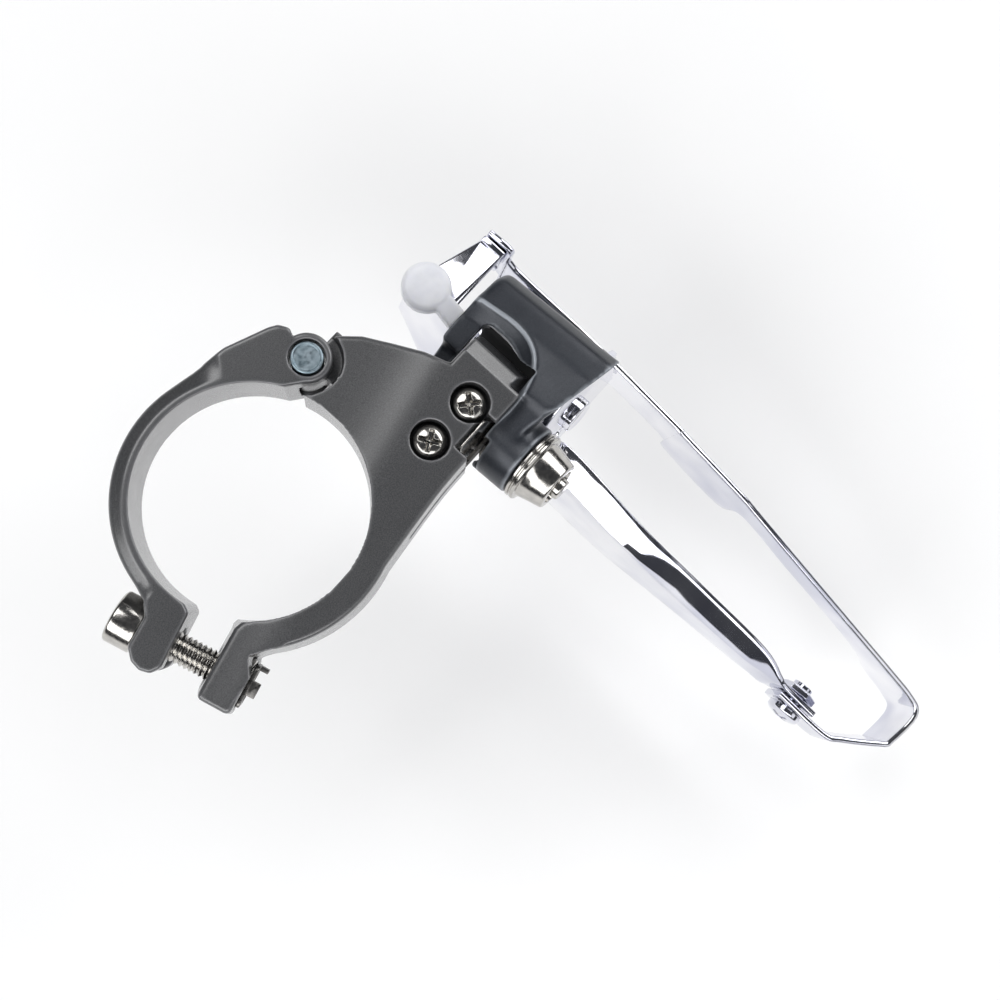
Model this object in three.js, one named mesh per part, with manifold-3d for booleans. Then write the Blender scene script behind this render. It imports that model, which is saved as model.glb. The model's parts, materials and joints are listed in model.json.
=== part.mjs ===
// Front derailleur for a bicycle: a hinged band clamp, a cast bracket, a parallelogram of two
// links and a chrome cage that pushes the chain across.  Lengths are millimetres.  The origin is
// the middle of the clamp bore; +X points outboard, +Y forward and +Z up the seat tube.
import * as THREE from 'three';
import { mergeVertices } from 'three/addons/utils/BufferGeometryUtils.js';
import { LoftGeometry } from 'three/addons/geometries/LoftGeometry.js';
import Module from 'manifold-3d';

const wasm = await Module();
wasm.setup();

// ---- driving dimensions -------------------------------------------------------------------
const GAP = 0.3; // play between two pieces that touch
const BORE_RADIUS = 17.45; // the clamp fits a 34.9 mm seat tube
const CLAMP_HALF_HEIGHT = 6.7;
const BAND_THICKNESS = 2.9;
const BRACKET_RING_THICKNESS = 4.2;
const CAST_DRAFT = 1.1; // how much wider the castings are at the bottom than at the top
const EDGE_CHAMFER = 0.7;

const HINGE = { x: 21.06, y: 8.4, pinRadius: 2.5, lugRadius: 3.8, pocketRadius: 5.4, lugHalfHeight: 3.0 };

const BOLT = { x: -24.4, y: -0.5, turn: 13.3, radius: 2.4, length: 16.2, headRadius: 4.1, headLength: 4.6 };
const BAND_LUG = { length: 5.2, outer: 4.8, inner: 5.6 };
const BRACKET_LUG = { start: 11.9, end: 17.3, outer: 4.6, inner: 6.4, holeRadius: 3.5 };
const NUT = { start: 13.9, end: 17.0, radius: 3.9, holeRadius: 2.9 };

const LIMIT_SCREWS = {
  high: { x: 32.45, y: -13.83 },
  low: { x: 24.25, y: -13.13 },
};
const SCREW = { radius: 1.5, headRadius: 2.5, headTop: 5.9, headLength: 2.1, tip: -2.6 };
const SCREW_SINK = { radius: 3.05, floor: 3.2 };

// The four pivots are parallel.  In the linkage frame they run along Y, with X and Z across them.
const LINKAGE = { x: 33.4, y: -16, z: -5.445, tilt: -12 };
const PIVOT_A = { x: 0, z: 0 };
const PIVOT_B = { x: -5.05, z: -1.5 };
const PIVOT_C = { x: 14.3, z: -14.5 };
const PIVOT_D = { x: PIVOT_C.x + PIVOT_B.x - PIVOT_A.x, z: PIVOT_C.z + PIVOT_B.z - PIVOT_A.z };
const PIN_RADIUS = 1.8;
const SMALL_PIN_RADIUS = 1.5;
const BUSH_RADIUS = 2.75;

const FRONT_ARM = { start: 7.0, end: 11.1, footRadius: 4.3 };
const REAR_ARM = { start: -10.8, end: -3.95 };
const KNUCKLE = { radius: 6.15, start: -10.8, end: -3.95, springRoom: 5.15, wall: 1.3 };
const LINK_EAR_RADIUS = 3.2;
const REAR_UNDERCUT = 0.25; // radians
// The hole in the outer link's top, over the stub.
const WINDOW = { front: 5.4, rear: -6.2, outboard: 11.4, frontCorner: 1.4, rearCorner: 8.4 };
const YOKE_WALL_RADIUS = 13.0; // the yoke's rear wall ends on this circle about pivot C
const CHEEK = { front: 6.6, frontInner: 4.6, rearInner: 0.0, rear: -2.9 };
const INNER_LINK = { start: 0.35, end: 4.25, halfThickness: 1.7, hubRadius: 3.3, endRadius: 3.0 };
const CABLE_ARM = { x: -6.5, z: -12.5, radius: 4.0, start: 3.0, end: 7.45 };
const YOKE = { front: 11.5, rear: -7.4, thickness: 1.2, top: -19.7, inboard: 9.0, outboard: 25.2 };

const STUB = { front: -7.6, rear: -19.2, shoulder: 38.0, edge: 40.8, edgeDrop: 1.3, end: 43.3, drop: 3.7 };
const OVERHANG = { inboard: -0.4, outboard: 5.1, rear: -5.0, bottom: 9.3 }; // covers the knuckle
const PLATE = 1.2; // thickness of the chromed cage steel
const TAIL_SCREW = { y: -97.0, z: -44.3, radius: 2.0 };
const BRIDGE_RIVET = { y: 1.3, z: -17.0, radius: 1.5, headRadius: 2.6 };

// ---- materials ----------------------------------------------------------------------------
function finish(color, roughness, metalness) {
  return new THREE.MeshStandardMaterial({ color, roughness, metalness });
}

const castPaint = finish(0x4d4e50, 0.55, 0.45);
const linkPaint = finish(0x3d444c, 0.4, 0.35);
const chrome = finish(0xd8dadf, 0.12, 1.0);
const brightSteel = finish(0xb9b6b0, 0.28, 1.0);
const zincSteel = finish(0x7f8f97, 0.4, 0.85);
const darkSteel = finish(0x55524e, 0.4, 0.9);
const nylon = finish(0xe6e7ec, 0.45, 0.0);
const bearingPlastic = finish(0x2c2d30, 0.5, 0.0);

// ---- solids -------------------------------------------------------------------------------
function solid(geometry) {
  const bare = new THREE.BufferGeometry();
  bare.setAttribute('position', geometry.attributes.position);
  bare.setIndex(geometry.index);
  const merged = mergeVertices(bare, 1e-4);
  const corners = Array.from(merged.index.array);
  const triangles = [];
  for (let i = 0; i < corners.length; i += 3) {
    const [a, b, c] = corners.slice(i, i + 3);
    if (a !== b && b !== c && c !== a) triangles.push(a, b, c);
  }
  return new wasm.Manifold(new wasm.Mesh({
    numProp: 3,
    vertProperties: Float32Array.from(merged.attributes.position.array),
    triVerts: Uint32Array.from(triangles),
  }));
}

function surface(manifold) {
  const mesh = manifold.getMesh();
  const geometry = new THREE.BufferGeometry();
  geometry.setAttribute('position', new THREE.BufferAttribute(mesh.vertProperties, 3));
  geometry.setIndex(new THREE.BufferAttribute(mesh.triVerts, 1));
  geometry.computeVertexNormals();
  return geometry;
}

function join(...geometries) {
  return surface(geometries.map(solid).reduce((whole, piece) => whole.add(piece)));
}

function cut(geometry, ...tools) {
  return surface(tools.map(solid).reduce((whole, tool) => whole.subtract(tool), solid(geometry)));
}

function mesh(name, geometry, material) {
  const part = new THREE.Mesh(surface(solid(geometry)), material);
  part.name = name;
  return part;
}

// ---- basic shapes -------------------------------------------------------------------------
function arc(x, y, radius, from, to, steps) {
  return Array.from({ length: steps + 1 }, (_, i) => {
    const angle = THREE.MathUtils.degToRad(from + ((to - from) * i) / steps);
    return [x + radius * Math.cos(angle), y + radius * Math.sin(angle)];
  });
}

function extrude(points, depth) {
  const shape = new THREE.Shape(points.map(([x, y]) => new THREE.Vector2(x, y)));
  return new THREE.ExtrudeGeometry(shape, { depth, bevelEnabled: false });
}

// An outline drawn in X and Y, standing between two heights.
function slabZ(points, low, high) {
  return extrude(points, high - low).translate(0, 0, low);
}

// An outline drawn in X and Z, between two places along Y.
function slabY(points, back, front) {
  return extrude(points, front - back).rotateX(Math.PI / 2).translate(0, front, 0);
}

function box(x0, x1, y0, y1, z0, z1) {
  const block = new THREE.BoxGeometry(x1 - x0, y1 - y0, z1 - z0);
  return block.translate((x0 + x1) / 2, (y0 + y1) / 2, (z0 + z1) / 2);
}

// A round bar along Y through (x, z).
function rodY(at, radius, back, front, sides = 24) {
  const bar = new THREE.CylinderGeometry(radius, radius, front - back, sides);
  return bar.translate(at.x, (front + back) / 2, at.z);
}

// A round bar along Z through (x, y).
function rodZ(at, radius, low, high, sides = 24) {
  const bar = new THREE.CylinderGeometry(radius, radius, high - low, sides).rotateX(Math.PI / 2);
  return bar.translate(at.x, at.y, (high + low) / 2);
}

// A round bar along X through (y, z).
function rodX(at, radius, inboard, outboard, sides = 20) {
  const bar = new THREE.CylinderGeometry(radius, radius, outboard - inboard, sides).rotateZ(Math.PI / 2);
  return bar.translate((inboard + outboard) / 2, at.y, at.z);
}

// A turned piece about Y: the profile is a list of [radius, y] that starts and ends on the axis.
function turnedY(at, profile, sides = 24) {
  const points = profile.map(([radius, y]) => new THREE.Vector2(radius, y));
  return new THREE.LatheGeometry(points, sides).translate(at.x, 0, at.z);
}

// The outline moved outwards by an amount, corner by corner, for a drafted or chamfered wall.
function grown(points, amount) {
  const turning = THREE.ShapeUtils.area(points.map(([x, y]) => new THREE.Vector2(x, y))) > 0 ? 1 : -1;
  return points.map(([x, y], i) => {
    const [px, py] = points[(i + points.length - 1) % points.length];
    const [nx, ny] = points[(i + 1) % points.length];
    const before = new THREE.Vector2(x - px, y - py).normalize();
    const after = new THREE.Vector2(nx - x, ny - y).normalize();
    const along = before.clone().add(after).normalize();
    const reach = (amount * turning) / Math.max(0.5, along.dot(before));
    return [x + along.y * reach, y - along.x * reach];
  });
}

// A casting's wall: wider at the bottom by the draft, with a chamfer round the top.
function drafted(points, low, high, draft = CAST_DRAFT, chamfer = EDGE_CHAMFER) {
  const upward = THREE.ShapeUtils.area(points.map(([x, y]) => new THREE.Vector2(x, y))) > 0;
  const ring = upward ? points : points.slice().reverse();
  const at = (amount, z) => grown(ring, amount).map(([x, y]) => new THREE.Vector3(x, y, z));
  const sections = [at(draft, low), at(0, high - chamfer), at(-chamfer, high)];
  return new LoftGeometry(sections, { capStart: true, capEnd: true });
}

// ---- the linkage frame --------------------------------------------------------------------
const linkageMatrix = new THREE.Matrix4()
  .makeTranslation(LINKAGE.x, LINKAGE.y, LINKAGE.z)
  .multiply(new THREE.Matrix4().makeRotationX(THREE.MathUtils.degToRad(LINKAGE.tilt)));

function fromLinkage(geometry) {
  return geometry.applyMatrix4(linkageMatrix);
}

function linkageGroup() {
  const group = new THREE.Group();
  group.position.set(LINKAGE.x, LINKAGE.y, LINKAGE.z);
  group.rotation.x = THREE.MathUtils.degToRad(LINKAGE.tilt);
  return group;
}

// ---- the clamp bolt's frame ---------------------------------------------------------------
// A point of the clamp lugs: how far along the bolt from under its head, and how far outwards.
function boltPoint(along, outward) {
  const turn = THREE.MathUtils.degToRad(BOLT.turn);
  const x = BOLT.x + along * Math.sin(turn) - outward * Math.cos(turn);
  const y = BOLT.y - along * Math.cos(turn) - outward * Math.sin(turn);
  return [x, y];
}

// Carries a piece drawn along -Y from the origin to the bolt's place and direction.
function alongBolt(geometry) {
  return geometry.rotateZ(THREE.MathUtils.degToRad(BOLT.turn)).translate(BOLT.x, BOLT.y, 0);
}

// ---- clamp --------------------------------------------------------------------------------
function hingeEarRoom(radius, low, high) {
  return rodZ(HINGE, radius, low, high, 32);
}

function bracketOutline() {
  const outerRadius = BORE_RADIUS + BRACKET_RING_THICKNESS;
  return [
    ...arc(0, 0, BORE_RADIUS, 17.5, -143.5, 40),
    boltPoint(BRACKET_LUG.start, -BRACKET_LUG.inner),
    boltPoint(BRACKET_LUG.start, BRACKET_LUG.outer - 0.8),
    boltPoint(BRACKET_LUG.start + 0.8, BRACKET_LUG.outer),
    boltPoint(BRACKET_LUG.end - 0.8, BRACKET_LUG.outer),
    boltPoint(BRACKET_LUG.end, BRACKET_LUG.outer - 0.8),
    boltPoint(BRACKET_LUG.end, -0.8),
    boltPoint(BRACKET_LUG.end - 1.3, -3.4),
    ...arc(0, 0, outerRadius, -131, -74, 9),
    [12.0, -20.2],
    [20.0, -19.5],
    [28.5, STUB.rear],
    [33.5, STUB.rear],
    [35.6, -18.4],
    [35.6, STUB.front + 0.6],
    [34.9, -7.2],
    [33.7, -3.6],
    [31.6, 0.5],
    [29.6, 4.2],
    [28.4, 5.4],
    [26.6, 6.4],
    [24.6, 8.4],
    [HINGE.x, HINGE.y],
  ];
}

// The stub that carries the pivots: flat on top, with a sloping shoulder at its outboard end.
function bracketStub() {
  const top = CLAMP_HALF_HEIGHT;
  const profile = [
    [20, top - 1],
    [20, -6.7],
    [24.4, -11.2],
    [31.5, -11.2],
    [37.5, -10.2],
    [STUB.end - 3, -7.5],
    [STUB.end, top - STUB.drop],
    [STUB.edge, top - STUB.edgeDrop],
    [STUB.shoulder, top],
    [22, top],
  ];
  return slabY(profile, STUB.rear, STUB.front);
}

function bracketCavities() {
  const screws = [];
  for (const place of Object.values(LIMIT_SCREWS)) {
    screws.push(rodZ(place, SCREW_SINK.radius, SCREW_SINK.floor, CLAMP_HALF_HEIGHT + 1));
    screws.push(rodZ(place, SCREW.radius + GAP, SCREW.tip - 6, SCREW_SINK.floor + 1, 16));
  }
  const linkRoom = fromLinkage(box(-12.5, 14, CHEEK.rearInner, CHEEK.frontInner, -20, 3.6));
  const frontArmRoom = fromLinkage(box(-4.9, 14, CHEEK.front, 16, -20, 5.3));
  const frontArmSide = fromLinkage(box(1.3, 14, CHEEK.front, 16, 3, 20));
  const overhang = box(OVERHANG.inboard, OVERHANG.outboard, OVERHANG.rear, 0, OVERHANG.bottom, 30);
  const rearArmRoom = fromLinkage(cut(box(-7.5, 30, -24, CHEEK.rear, -20, 20), overhang));
  const springLegGroove = fromLinkage(box(-21.5, -7, -9, CHEEK.rear - 0.15, 3.2, 5.0));
  const pins = [
    fromLinkage(rodY(PIVOT_A, PIN_RADIUS + GAP, -8, CHEEK.front + 1)),
    fromLinkage(rodY(PIVOT_B, SMALL_PIN_RADIUS + GAP, -4.8, CHEEK.front + 2)),
  ];
  return [...screws, linkRoom, frontArmRoom, frontArmSide, rearArmRoom, springLegGroove, ...pins];
}

function gripPocket(grow) {
  const half = 2.3 + grow;
  return box(21.6 - grow, 35.0 + grow, -13.5 - half, -13.5 + half, 0.2 - grow, 2.2 + grow);
}

function makeBracket() {
  const body = drafted(bracketOutline(), -CLAMP_HALF_HEIGHT, CLAMP_HALF_HEIGHT);
  const bore = rodZ({ x: 0, y: 0 }, BORE_RADIUS, -10, 10, 96);
  const pocket = hingeEarRoom(HINGE.pocketRadius, -10, 10);
  const hingeLug = join(
    rodZ(HINGE, HINGE.lugRadius - 0.2, -HINGE.lugHalfHeight, HINGE.lugHalfHeight, 32),
    box(HINGE.x, HINGE.x + 6.6, 3.4, 8.4, -HINGE.lugHalfHeight, HINGE.lugHalfHeight),
  );
  const lugs = cut(hingeLug, rodZ(HINGE, HINGE.pinRadius + GAP, -10, 10));
  const outerEnd = 10 + BRACKET_LUG.end;
  const boltHole = alongBolt(rodY({ x: 0, z: 0 }, BRACKET_LUG.holeRadius, -NUT.start - 1, -6));
  const nutSeat = alongBolt(rodY({ x: 0, z: 0 }, NUT.radius + GAP, -outerEnd, -NUT.start + GAP));
  const core = cut(join(body, bracketStub()), bore, pocket);
  const lugFace = alongBolt(box(-12, 3.6, -outerEnd, -BRACKET_LUG.end, -10, 10));
  return cut(join(core, lugs), boltHole, nutSeat, lugFace, ...bracketCavities());
}

function bandOutline() {
  const outerRadius = BORE_RADIUS + BAND_THICKNESS;
  return [
    ...arc(0, 0, BORE_RADIUS, 30, 183, 36),
    boltPoint(3.4, -6.6),
    boltPoint(BAND_LUG.length, -BAND_LUG.inner),
    boltPoint(BAND_LUG.length + 0.4, BAND_LUG.outer - 1.6),
    boltPoint(BAND_LUG.length - 0.6, BAND_LUG.outer - 0.3),
    boltPoint(BAND_LUG.length - 2.2, BAND_LUG.outer),
    boltPoint(1.4, BAND_LUG.outer - 0.6),
    boltPoint(0, BAND_LUG.outer - 2.2),
    boltPoint(0, -2.2),
    boltPoint(-1.4, -4.2),
    ...arc(0, 0, outerRadius, 166, 78, 20),
    [8.4, 19.2],
    [14.0, 18.2],
    [20.6, 15.6],
    [21.6, 14.9],
    [22.6, 13.2],
    [21.9, 11.8],
    ...arc(HINGE.x, HINGE.y, HINGE.lugRadius, 78, -140, 18),
  ];
}

function makeClampBand() {
  const body = drafted(bandOutline(), -CLAMP_HALF_HEIGHT, CLAMP_HALF_HEIGHT, 0.2, 0.5);
  const bore = rodZ({ x: 0, y: 0 }, BORE_RADIUS, -10, 10, 96);
  const half = HINGE.lugHalfHeight + GAP;
  const lugRoom = hingeEarRoom(HINGE.lugRadius + 0.3, -half, half);
  const openSide = box(HINGE.x - 1.5, HINGE.x + 8, HINGE.y - 8, HINGE.y + 1.5, -half, half);
  const pinHole = rodZ(HINGE, HINGE.pinRadius + GAP, -10, 10);
  const slot = alongBolt(join(
    rodY({ x: 0, z: 0 }, 3.0, -12, 3),
    box(-2.6, 0, -12, 3, -3.0, 3.0),
    rodY({ x: -2.6, z: 0 }, 3.0, -12, 3),
  ));
  const headSeat = alongBolt(rodY({ x: 0, z: 0 }, BOLT.headRadius + GAP, 0, 12, 32));
  return cut(body, bore, lugRoom, openSide, pinHole, slot, headSeat);
}

function makeHingePin() {
  const end = CLAMP_HALF_HEIGHT - 0.15;
  const profile = [
    [0, -end],
    [HINGE.pinRadius - 0.4, -end],
    [HINGE.pinRadius, -end + 0.4],
    [HINGE.pinRadius, end - 0.4],
    [HINGE.pinRadius - 0.4, end],
    [0, end],
  ];
  return turnedY({ x: 0, z: 0 }, profile, 28).rotateX(Math.PI / 2).translate(HINGE.x, HINGE.y, 0);
}

function hexagon(radius, low, high) {
  return new THREE.CylinderGeometry(radius, radius, high - low, 6).translate(0, (low + high) / 2, 0);
}

function makeClampBolt() {
  const profile = [
    [0, -BOLT.length],
    [BOLT.radius - 0.6, -BOLT.length],
    [BOLT.radius, -BOLT.length + 0.8],
    [BOLT.radius, GAP],
    [BOLT.headRadius, GAP],
    [BOLT.headRadius, BOLT.headLength - 0.4],
    [BOLT.headRadius - 0.4, BOLT.headLength],
    [0, BOLT.headLength],
  ];
  const socket = hexagon(2.3, BOLT.headLength - 2.4, BOLT.headLength + 1);
  return alongBolt(cut(turnedY({ x: 0, z: 0 }, profile, 28), socket));
}

function makeClampNut() {
  const centre = { x: 0, z: 0 };
  const nut = rodY(centre, NUT.radius, -NUT.end, -NUT.start, 28);
  return alongBolt(cut(nut, rodY(centre, NUT.holeRadius, -NUT.end - 1, -NUT.start + 1)));
}

// A spring-steel clip with two folded ears that keeps the nut in its seat.
function makeNutClip() {
  const face = NUT.end + GAP;
  const plate = box(-3.4, 3.4, -face - 0.6, -face, -3.6, 3.6);
  const ears = [
    box(2.6, 3.4, -face - 1.9, -face - 0.1, -1.2, 1.2),
    box(-1.2, 1.2, -face - 1.9, -face - 0.1, 2.8, 3.6),
  ];
  return alongBolt(cut(join(plate, ...ears), rodY({ x: 0, z: 0 }, 2.9, -face - 5, -face + 1)));
}

// ---- limit screws -------------------------------------------------------------------------
function makeLimitScrew(place) {
  const profile = [
    [0, SCREW.tip],
    [SCREW.radius - 0.4, SCREW.tip],
    [SCREW.radius, SCREW.tip + 0.5],
    [SCREW.radius, SCREW.headTop - SCREW.headLength],
    [SCREW.headRadius, SCREW.headTop - SCREW.headLength],
    [SCREW.headRadius, SCREW.headTop - 0.7],
    [SCREW.headRadius - 0.6, SCREW.headTop - 0.15],
    [0, SCREW.headTop],
  ];
  const screw = turnedY({ x: 0, z: 0 }, profile, 20).rotateX(Math.PI / 2);
  const slotFloor = SCREW.headTop - 1.2;
  const slots = [
    box(-1.5, 1.5, -0.35, 0.35, slotFloor, 8),
    box(-0.35, 0.35, -1.5, 1.5, slotFloor, 8),
  ];
  return cut(screw, ...slots).translate(place.x, place.y, 0);
}

// The plastic insert that grips both limit screws so that they don't shake loose.
function makeScrewGrip() {
  const holes = Object.values(LIMIT_SCREWS).map((place) => rodZ(place, SCREW.radius + GAP, -2, 4, 16));
  return cut(gripPocket(-GAP), ...holes);
}

// ---- links --------------------------------------------------------------------------------
// The outer link seen along its pivots: an arch from pivot A, over the stub, down to pivot C.
function outerLinkProfile() {
  return [
    [5.1, 8.5],
    [9.5, 9.0],
    [14.0, 9.1],
    [18.2, 8.3],
    [20.4, 5.8],
    [20.8, 2.5],
    [19.8, -3.0],
    [18.9, -7.0],
    ...arc(PIVOT_C.x, PIVOT_C.z, LINK_EAR_RADIUS + 0.3, 20, -160, 14),
    [11.3, -10.5],
    [13.4, -4.5],
    [13.9, 0.0],
    [13.1, 4.0],
    [11.0, 5.6],
    [7.6, 5.2],
    [5.0, 3.6],
  ];
}

function frontArmProfile() {
  return [
    [5.1, 8.5],
    [9.5, 9.0],
    [12.0, 6.0],
    [8.6, 3.0],
    ...arc(0, 0, FRONT_ARM.footRadius, -20, -238, 22),
    [2.6, 4.6],
    [4.6, 5.6],
  ];
}

function rearArmProfile() {
  return [
    [9.5, 9.0],
    [14.0, 8.9],
    [14.0, 1.0],
    [10.0, -3.6],
    ...arc(0, 0, KNUCKLE.radius, -40, -265, 26),
  ];
}

function makeOuterLink() {
  // The rear edge slants back towards its outboard end, is undercut, and overhangs the yoke's rear wall.
  const behindRearEdge = slabZ([[-3, -7.6], [26, -13.5], [26, -40], [-3, -40]], -50, 30);
  behindRearEdge.translate(0, 0, -8).rotateX(REAR_UNDERCUT).translate(0, 0, 8);
  const yokeWallRoom = rodY(PIVOT_C, YOKE_WALL_RADIUS + 0.6, -30, YOKE.rear + GAP, 48);
  const arms = join(
    slabY(outerLinkProfile(), REAR_ARM.start - 2, FRONT_ARM.end),
    slabY(frontArmProfile(), FRONT_ARM.start, FRONT_ARM.end),
    slabY(rearArmProfile(), REAR_ARM.start, REAR_ARM.end),
  );
  const arch = join(
    cut(arms, behindRearEdge, yokeWallRoom),
    rodY(PIVOT_A, KNUCKLE.radius, KNUCKLE.start, KNUCKLE.end, 40),
  );
  const lean = THREE.MathUtils.degToRad(-LINKAGE.tilt);
  // The window over the stub stands upright, so it is drawn about the stub's own middle.
  const { front, rear, outboard, frontCorner, rearCorner } = WINDOW;
  const windowOutline = [
    [-10, front],
    ...arc(outboard - frontCorner, front - frontCorner, frontCorner, 90, 0, 3),
    ...arc(outboard - rearCorner, rear + rearCorner, rearCorner, 0, -90, 8),
    [-10, rear],
  ];
  const stubWindow = slabZ(windowOutline, 0, 30).rotateX(lean).translate(0, 3.68, 0);
  const between = FRONT_ARM.start - 0.3;
  const stubRoom = rodY(PIVOT_A, 13.3, REAR_ARM.end, FRONT_ARM.start, 48);
  const lowNotch = box(5, 22, REAR_ARM.end + 0.4, between, -20, -10.2);
  const springRoom = rodY(PIVOT_A, KNUCKLE.springRoom, KNUCKLE.start + KNUCKLE.wall, 0, 32);
  const legNotch = slabY([[0, 0], ...arc(0, 0, 9, 112, 192, 8)], KNUCKLE.end - 1.2, 0);
  const holes = [
    rodY(PIVOT_A, BUSH_RADIUS + GAP, -30, 30),
    rodY(PIVOT_C, SMALL_PIN_RADIUS + GAP, -30, 30),
  ];
  return cut(arch, stubRoom, stubWindow, lowNotch, springRoom, legNotch, ...holes);
}

function makeBush(back, front) {
  return cut(rodY(PIVOT_A, BUSH_RADIUS, back, front), rodY(PIVOT_A, PIN_RADIUS + GAP, back - 1, front + 1));
}

// A straight bar between two centres with round ends.
function barProfile(from, to, fromRadius, toRadius) {
  const heading = THREE.MathUtils.radToDeg(Math.atan2(to.z - from.z, to.x - from.x));
  return [
    ...arc(to.x, to.z, toRadius, heading - 90, heading + 90, 10),
    ...arc(from.x, from.z, fromRadius, heading + 90, heading + 270, 10),
  ];
}

function makeInnerLink() {
  const { start, end, halfThickness, hubRadius, endRadius } = INNER_LINK;
  const rocker = [
    [PIVOT_B.x - 5.2, 0.4],
    [PIVOT_B.x - 3.6, 1.2],
    [PIVOT_B.x + 5.4, 1.9],
    [PIVOT_B.x + 5.4, 0.4],
    [PIVOT_B.x + 2.5, -2.5],
    [PIVOT_B.x - 2.5, -2.5],
  ];
  // The cable arm steps forward at the knee, below the bracket.
  const knee = { x: PIVOT_B.x - 1.0, z: PIVOT_B.z - 8.6 };
  const bodies = join(
    slabY(barProfile(PIVOT_B, PIVOT_D, halfThickness + 0.6, halfThickness), start, end),
    rodY(PIVOT_B, hubRadius, start, end),
    rodY(PIVOT_D, endRadius, start, end),
    slabY(rocker, start, end),
    slabY(barProfile(PIVOT_B, knee, 2.4, 2.4), start, end),
    slabY(barProfile(knee, CABLE_ARM, 2.4, CABLE_ARM.radius), CABLE_ARM.start, CABLE_ARM.end),
  );
  return cut(
    bodies,
    rodY(PIVOT_B, SMALL_PIN_RADIUS + GAP, -30, 30),
    rodY(PIVOT_D, SMALL_PIN_RADIUS + 0.45, -30, 30),
    rodY(CABLE_ARM, 2.5 + GAP, -30, 30),
  );
}

// A plain pin with a chamfer at each end and, where given, a riveted head at the back.
function pinProfile(radius, back, front, headRadius = 0) {
  const chamfered = [[radius - 0.3, back], [radius, back + 0.3]];
  const headed = [
    [headRadius - 0.4, back],
    [headRadius, back + 0.4],
    [headRadius, back + 1.2],
    [radius, back + 1.2],
  ];
  const rearEnd = headRadius ? headed : chamfered;
  return [[0, back], ...rearEnd, [radius, front - 0.3], [radius - 0.3, front], [0, front]];
}

function makePinAFront() {
  const head = FRONT_ARM.end + GAP;
  const profile = [
    [0, CHEEK.frontInner + 0.2],
    [PIN_RADIUS, CHEEK.frontInner + 0.2],
    [PIN_RADIUS, head],
    [2.9, head],
    [2.9, head + 0.8],
    [2.5, head + 1.2],
    [0, head + 1.2],
  ];
  return turnedY(PIVOT_A, profile);
}

function makePinARear() {
  return turnedY(PIVOT_A, pinProfile(PIN_RADIUS, -18.0, CHEEK.rearInner - 0.2));
}

// The polished sleeve that closes the spring housing and holds the end of the long pivot pin.
function makeSpringCap() {
  const face = KNUCKLE.start - GAP;
  const profile = [
    [0, face - 5.9],
    [3.9, face - 5.9],
    [4.3, face - 5.5],
    [5.2, face - 1.3],
    [6.1, face - 1.1],
    [6.1, face],
    [0, face],
  ];
  const hollow = rodY(PIVOT_A, 3.1, face - 10, face - 5.2);
  return cut(turnedY(PIVOT_A, profile, 32), rodY(PIVOT_A, PIN_RADIUS + GAP, -30, 0), hollow);
}

class CoilWithLeg extends THREE.Curve {
  // Three turns inside the housing, then one straight leg that lies along the bracket.
  getPoint(t, target = new THREE.Vector3()) {
    const coilShare = 0.8;
    const radius = 4.1;
    const back = KNUCKLE.start + KNUCKLE.wall + 1.0;
    const front = CHEEK.rear - 1.45;
    if (t < coilShare) {
      const turned = t / coilShare;
      const angle = 2 * Math.PI * 3 * turned + Math.PI / 2;
      return target.set(-radius * Math.cos(angle), back + (front - back) * turned, radius * Math.sin(angle));
    }
    const along = (t - coilShare) / (1 - coilShare);
    return target.set(-20 * along, front, radius);
  }
}

function makeReturnSpring() {
  const wireRadius = 0.45;
  const circle = arc(0, 0, wireRadius, 0, 315, 7).map(([x, y]) => new THREE.Vector2(x, y));
  const options = { steps: 75, bevelEnabled: false, extrudePath: new CoilWithLeg() };
  return new THREE.ExtrudeGeometry(new THREE.Shape(circle), options);
}

// The thin steel plate between the bracket and the link's knuckle that the spring leg bears on.
function makeThrustPlate() {
  const outline = [
    ...arc(0, 0, 3.6, -20, -160, 10),
    [-7.1, 0.2],
    [-7.1, 10.3],
    [-1.2, 10.3],
    [0.4, 5.4],
    [3.4, 1.6],
  ];
  const plate = slabY(outline, CHEEK.rear - GAP - 0.4, CHEEK.rear - GAP);
  return cut(plate, rodY(PIVOT_A, PIN_RADIUS + GAP, -30, 30));
}

// ---- cable clamp --------------------------------------------------------------------------
function makeCableBolt() {
  const face = CABLE_ARM.end + 1.4;
  const profile = [
    [0, CABLE_ARM.start - 1.2],
    [2.1, CABLE_ARM.start - 1.2],
    [2.5, CABLE_ARM.start - 0.8],
    [2.5, face + GAP],
    [4.2, face + GAP],
    [4.2, face + 2.7],
    [3.8, face + 3.1],
    [0, face + 3.1],
  ];
  const socket = hexagon(2.6, face + 1.3, face + 6);
  return cut(turnedY({ x: 0, z: 0 }, profile), socket).translate(CABLE_ARM.x, 0, CABLE_ARM.z);
}

// The cable is clamped between this plate and the arm, in the groove.
function makeCablePlate() {
  const { x, z } = CABLE_ARM;
  const back = CABLE_ARM.end + GAP;
  const plate = box(x - 4.1, x + 4.1, back, back + 1.1, z - 4.1, z + 4.1);
  const tab = box(x - 5.4, x - 4.4, back - 2.4, back + 1.1, z - 1.6, z + 1.6);
  const bend = box(x - 5.4, x - 4.0, back, back + 1.1, z - 1.6, z + 1.6);
  const hole = rodY(CABLE_ARM, 2.5 + GAP, -30, 30);
  const groove = rodX({ y: back - 0.1, z: z + 3.3 }, 0.5, x - 8, x + 8, 10);
  return cut(join(plate, tab, bend), hole, groove);
}

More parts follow.
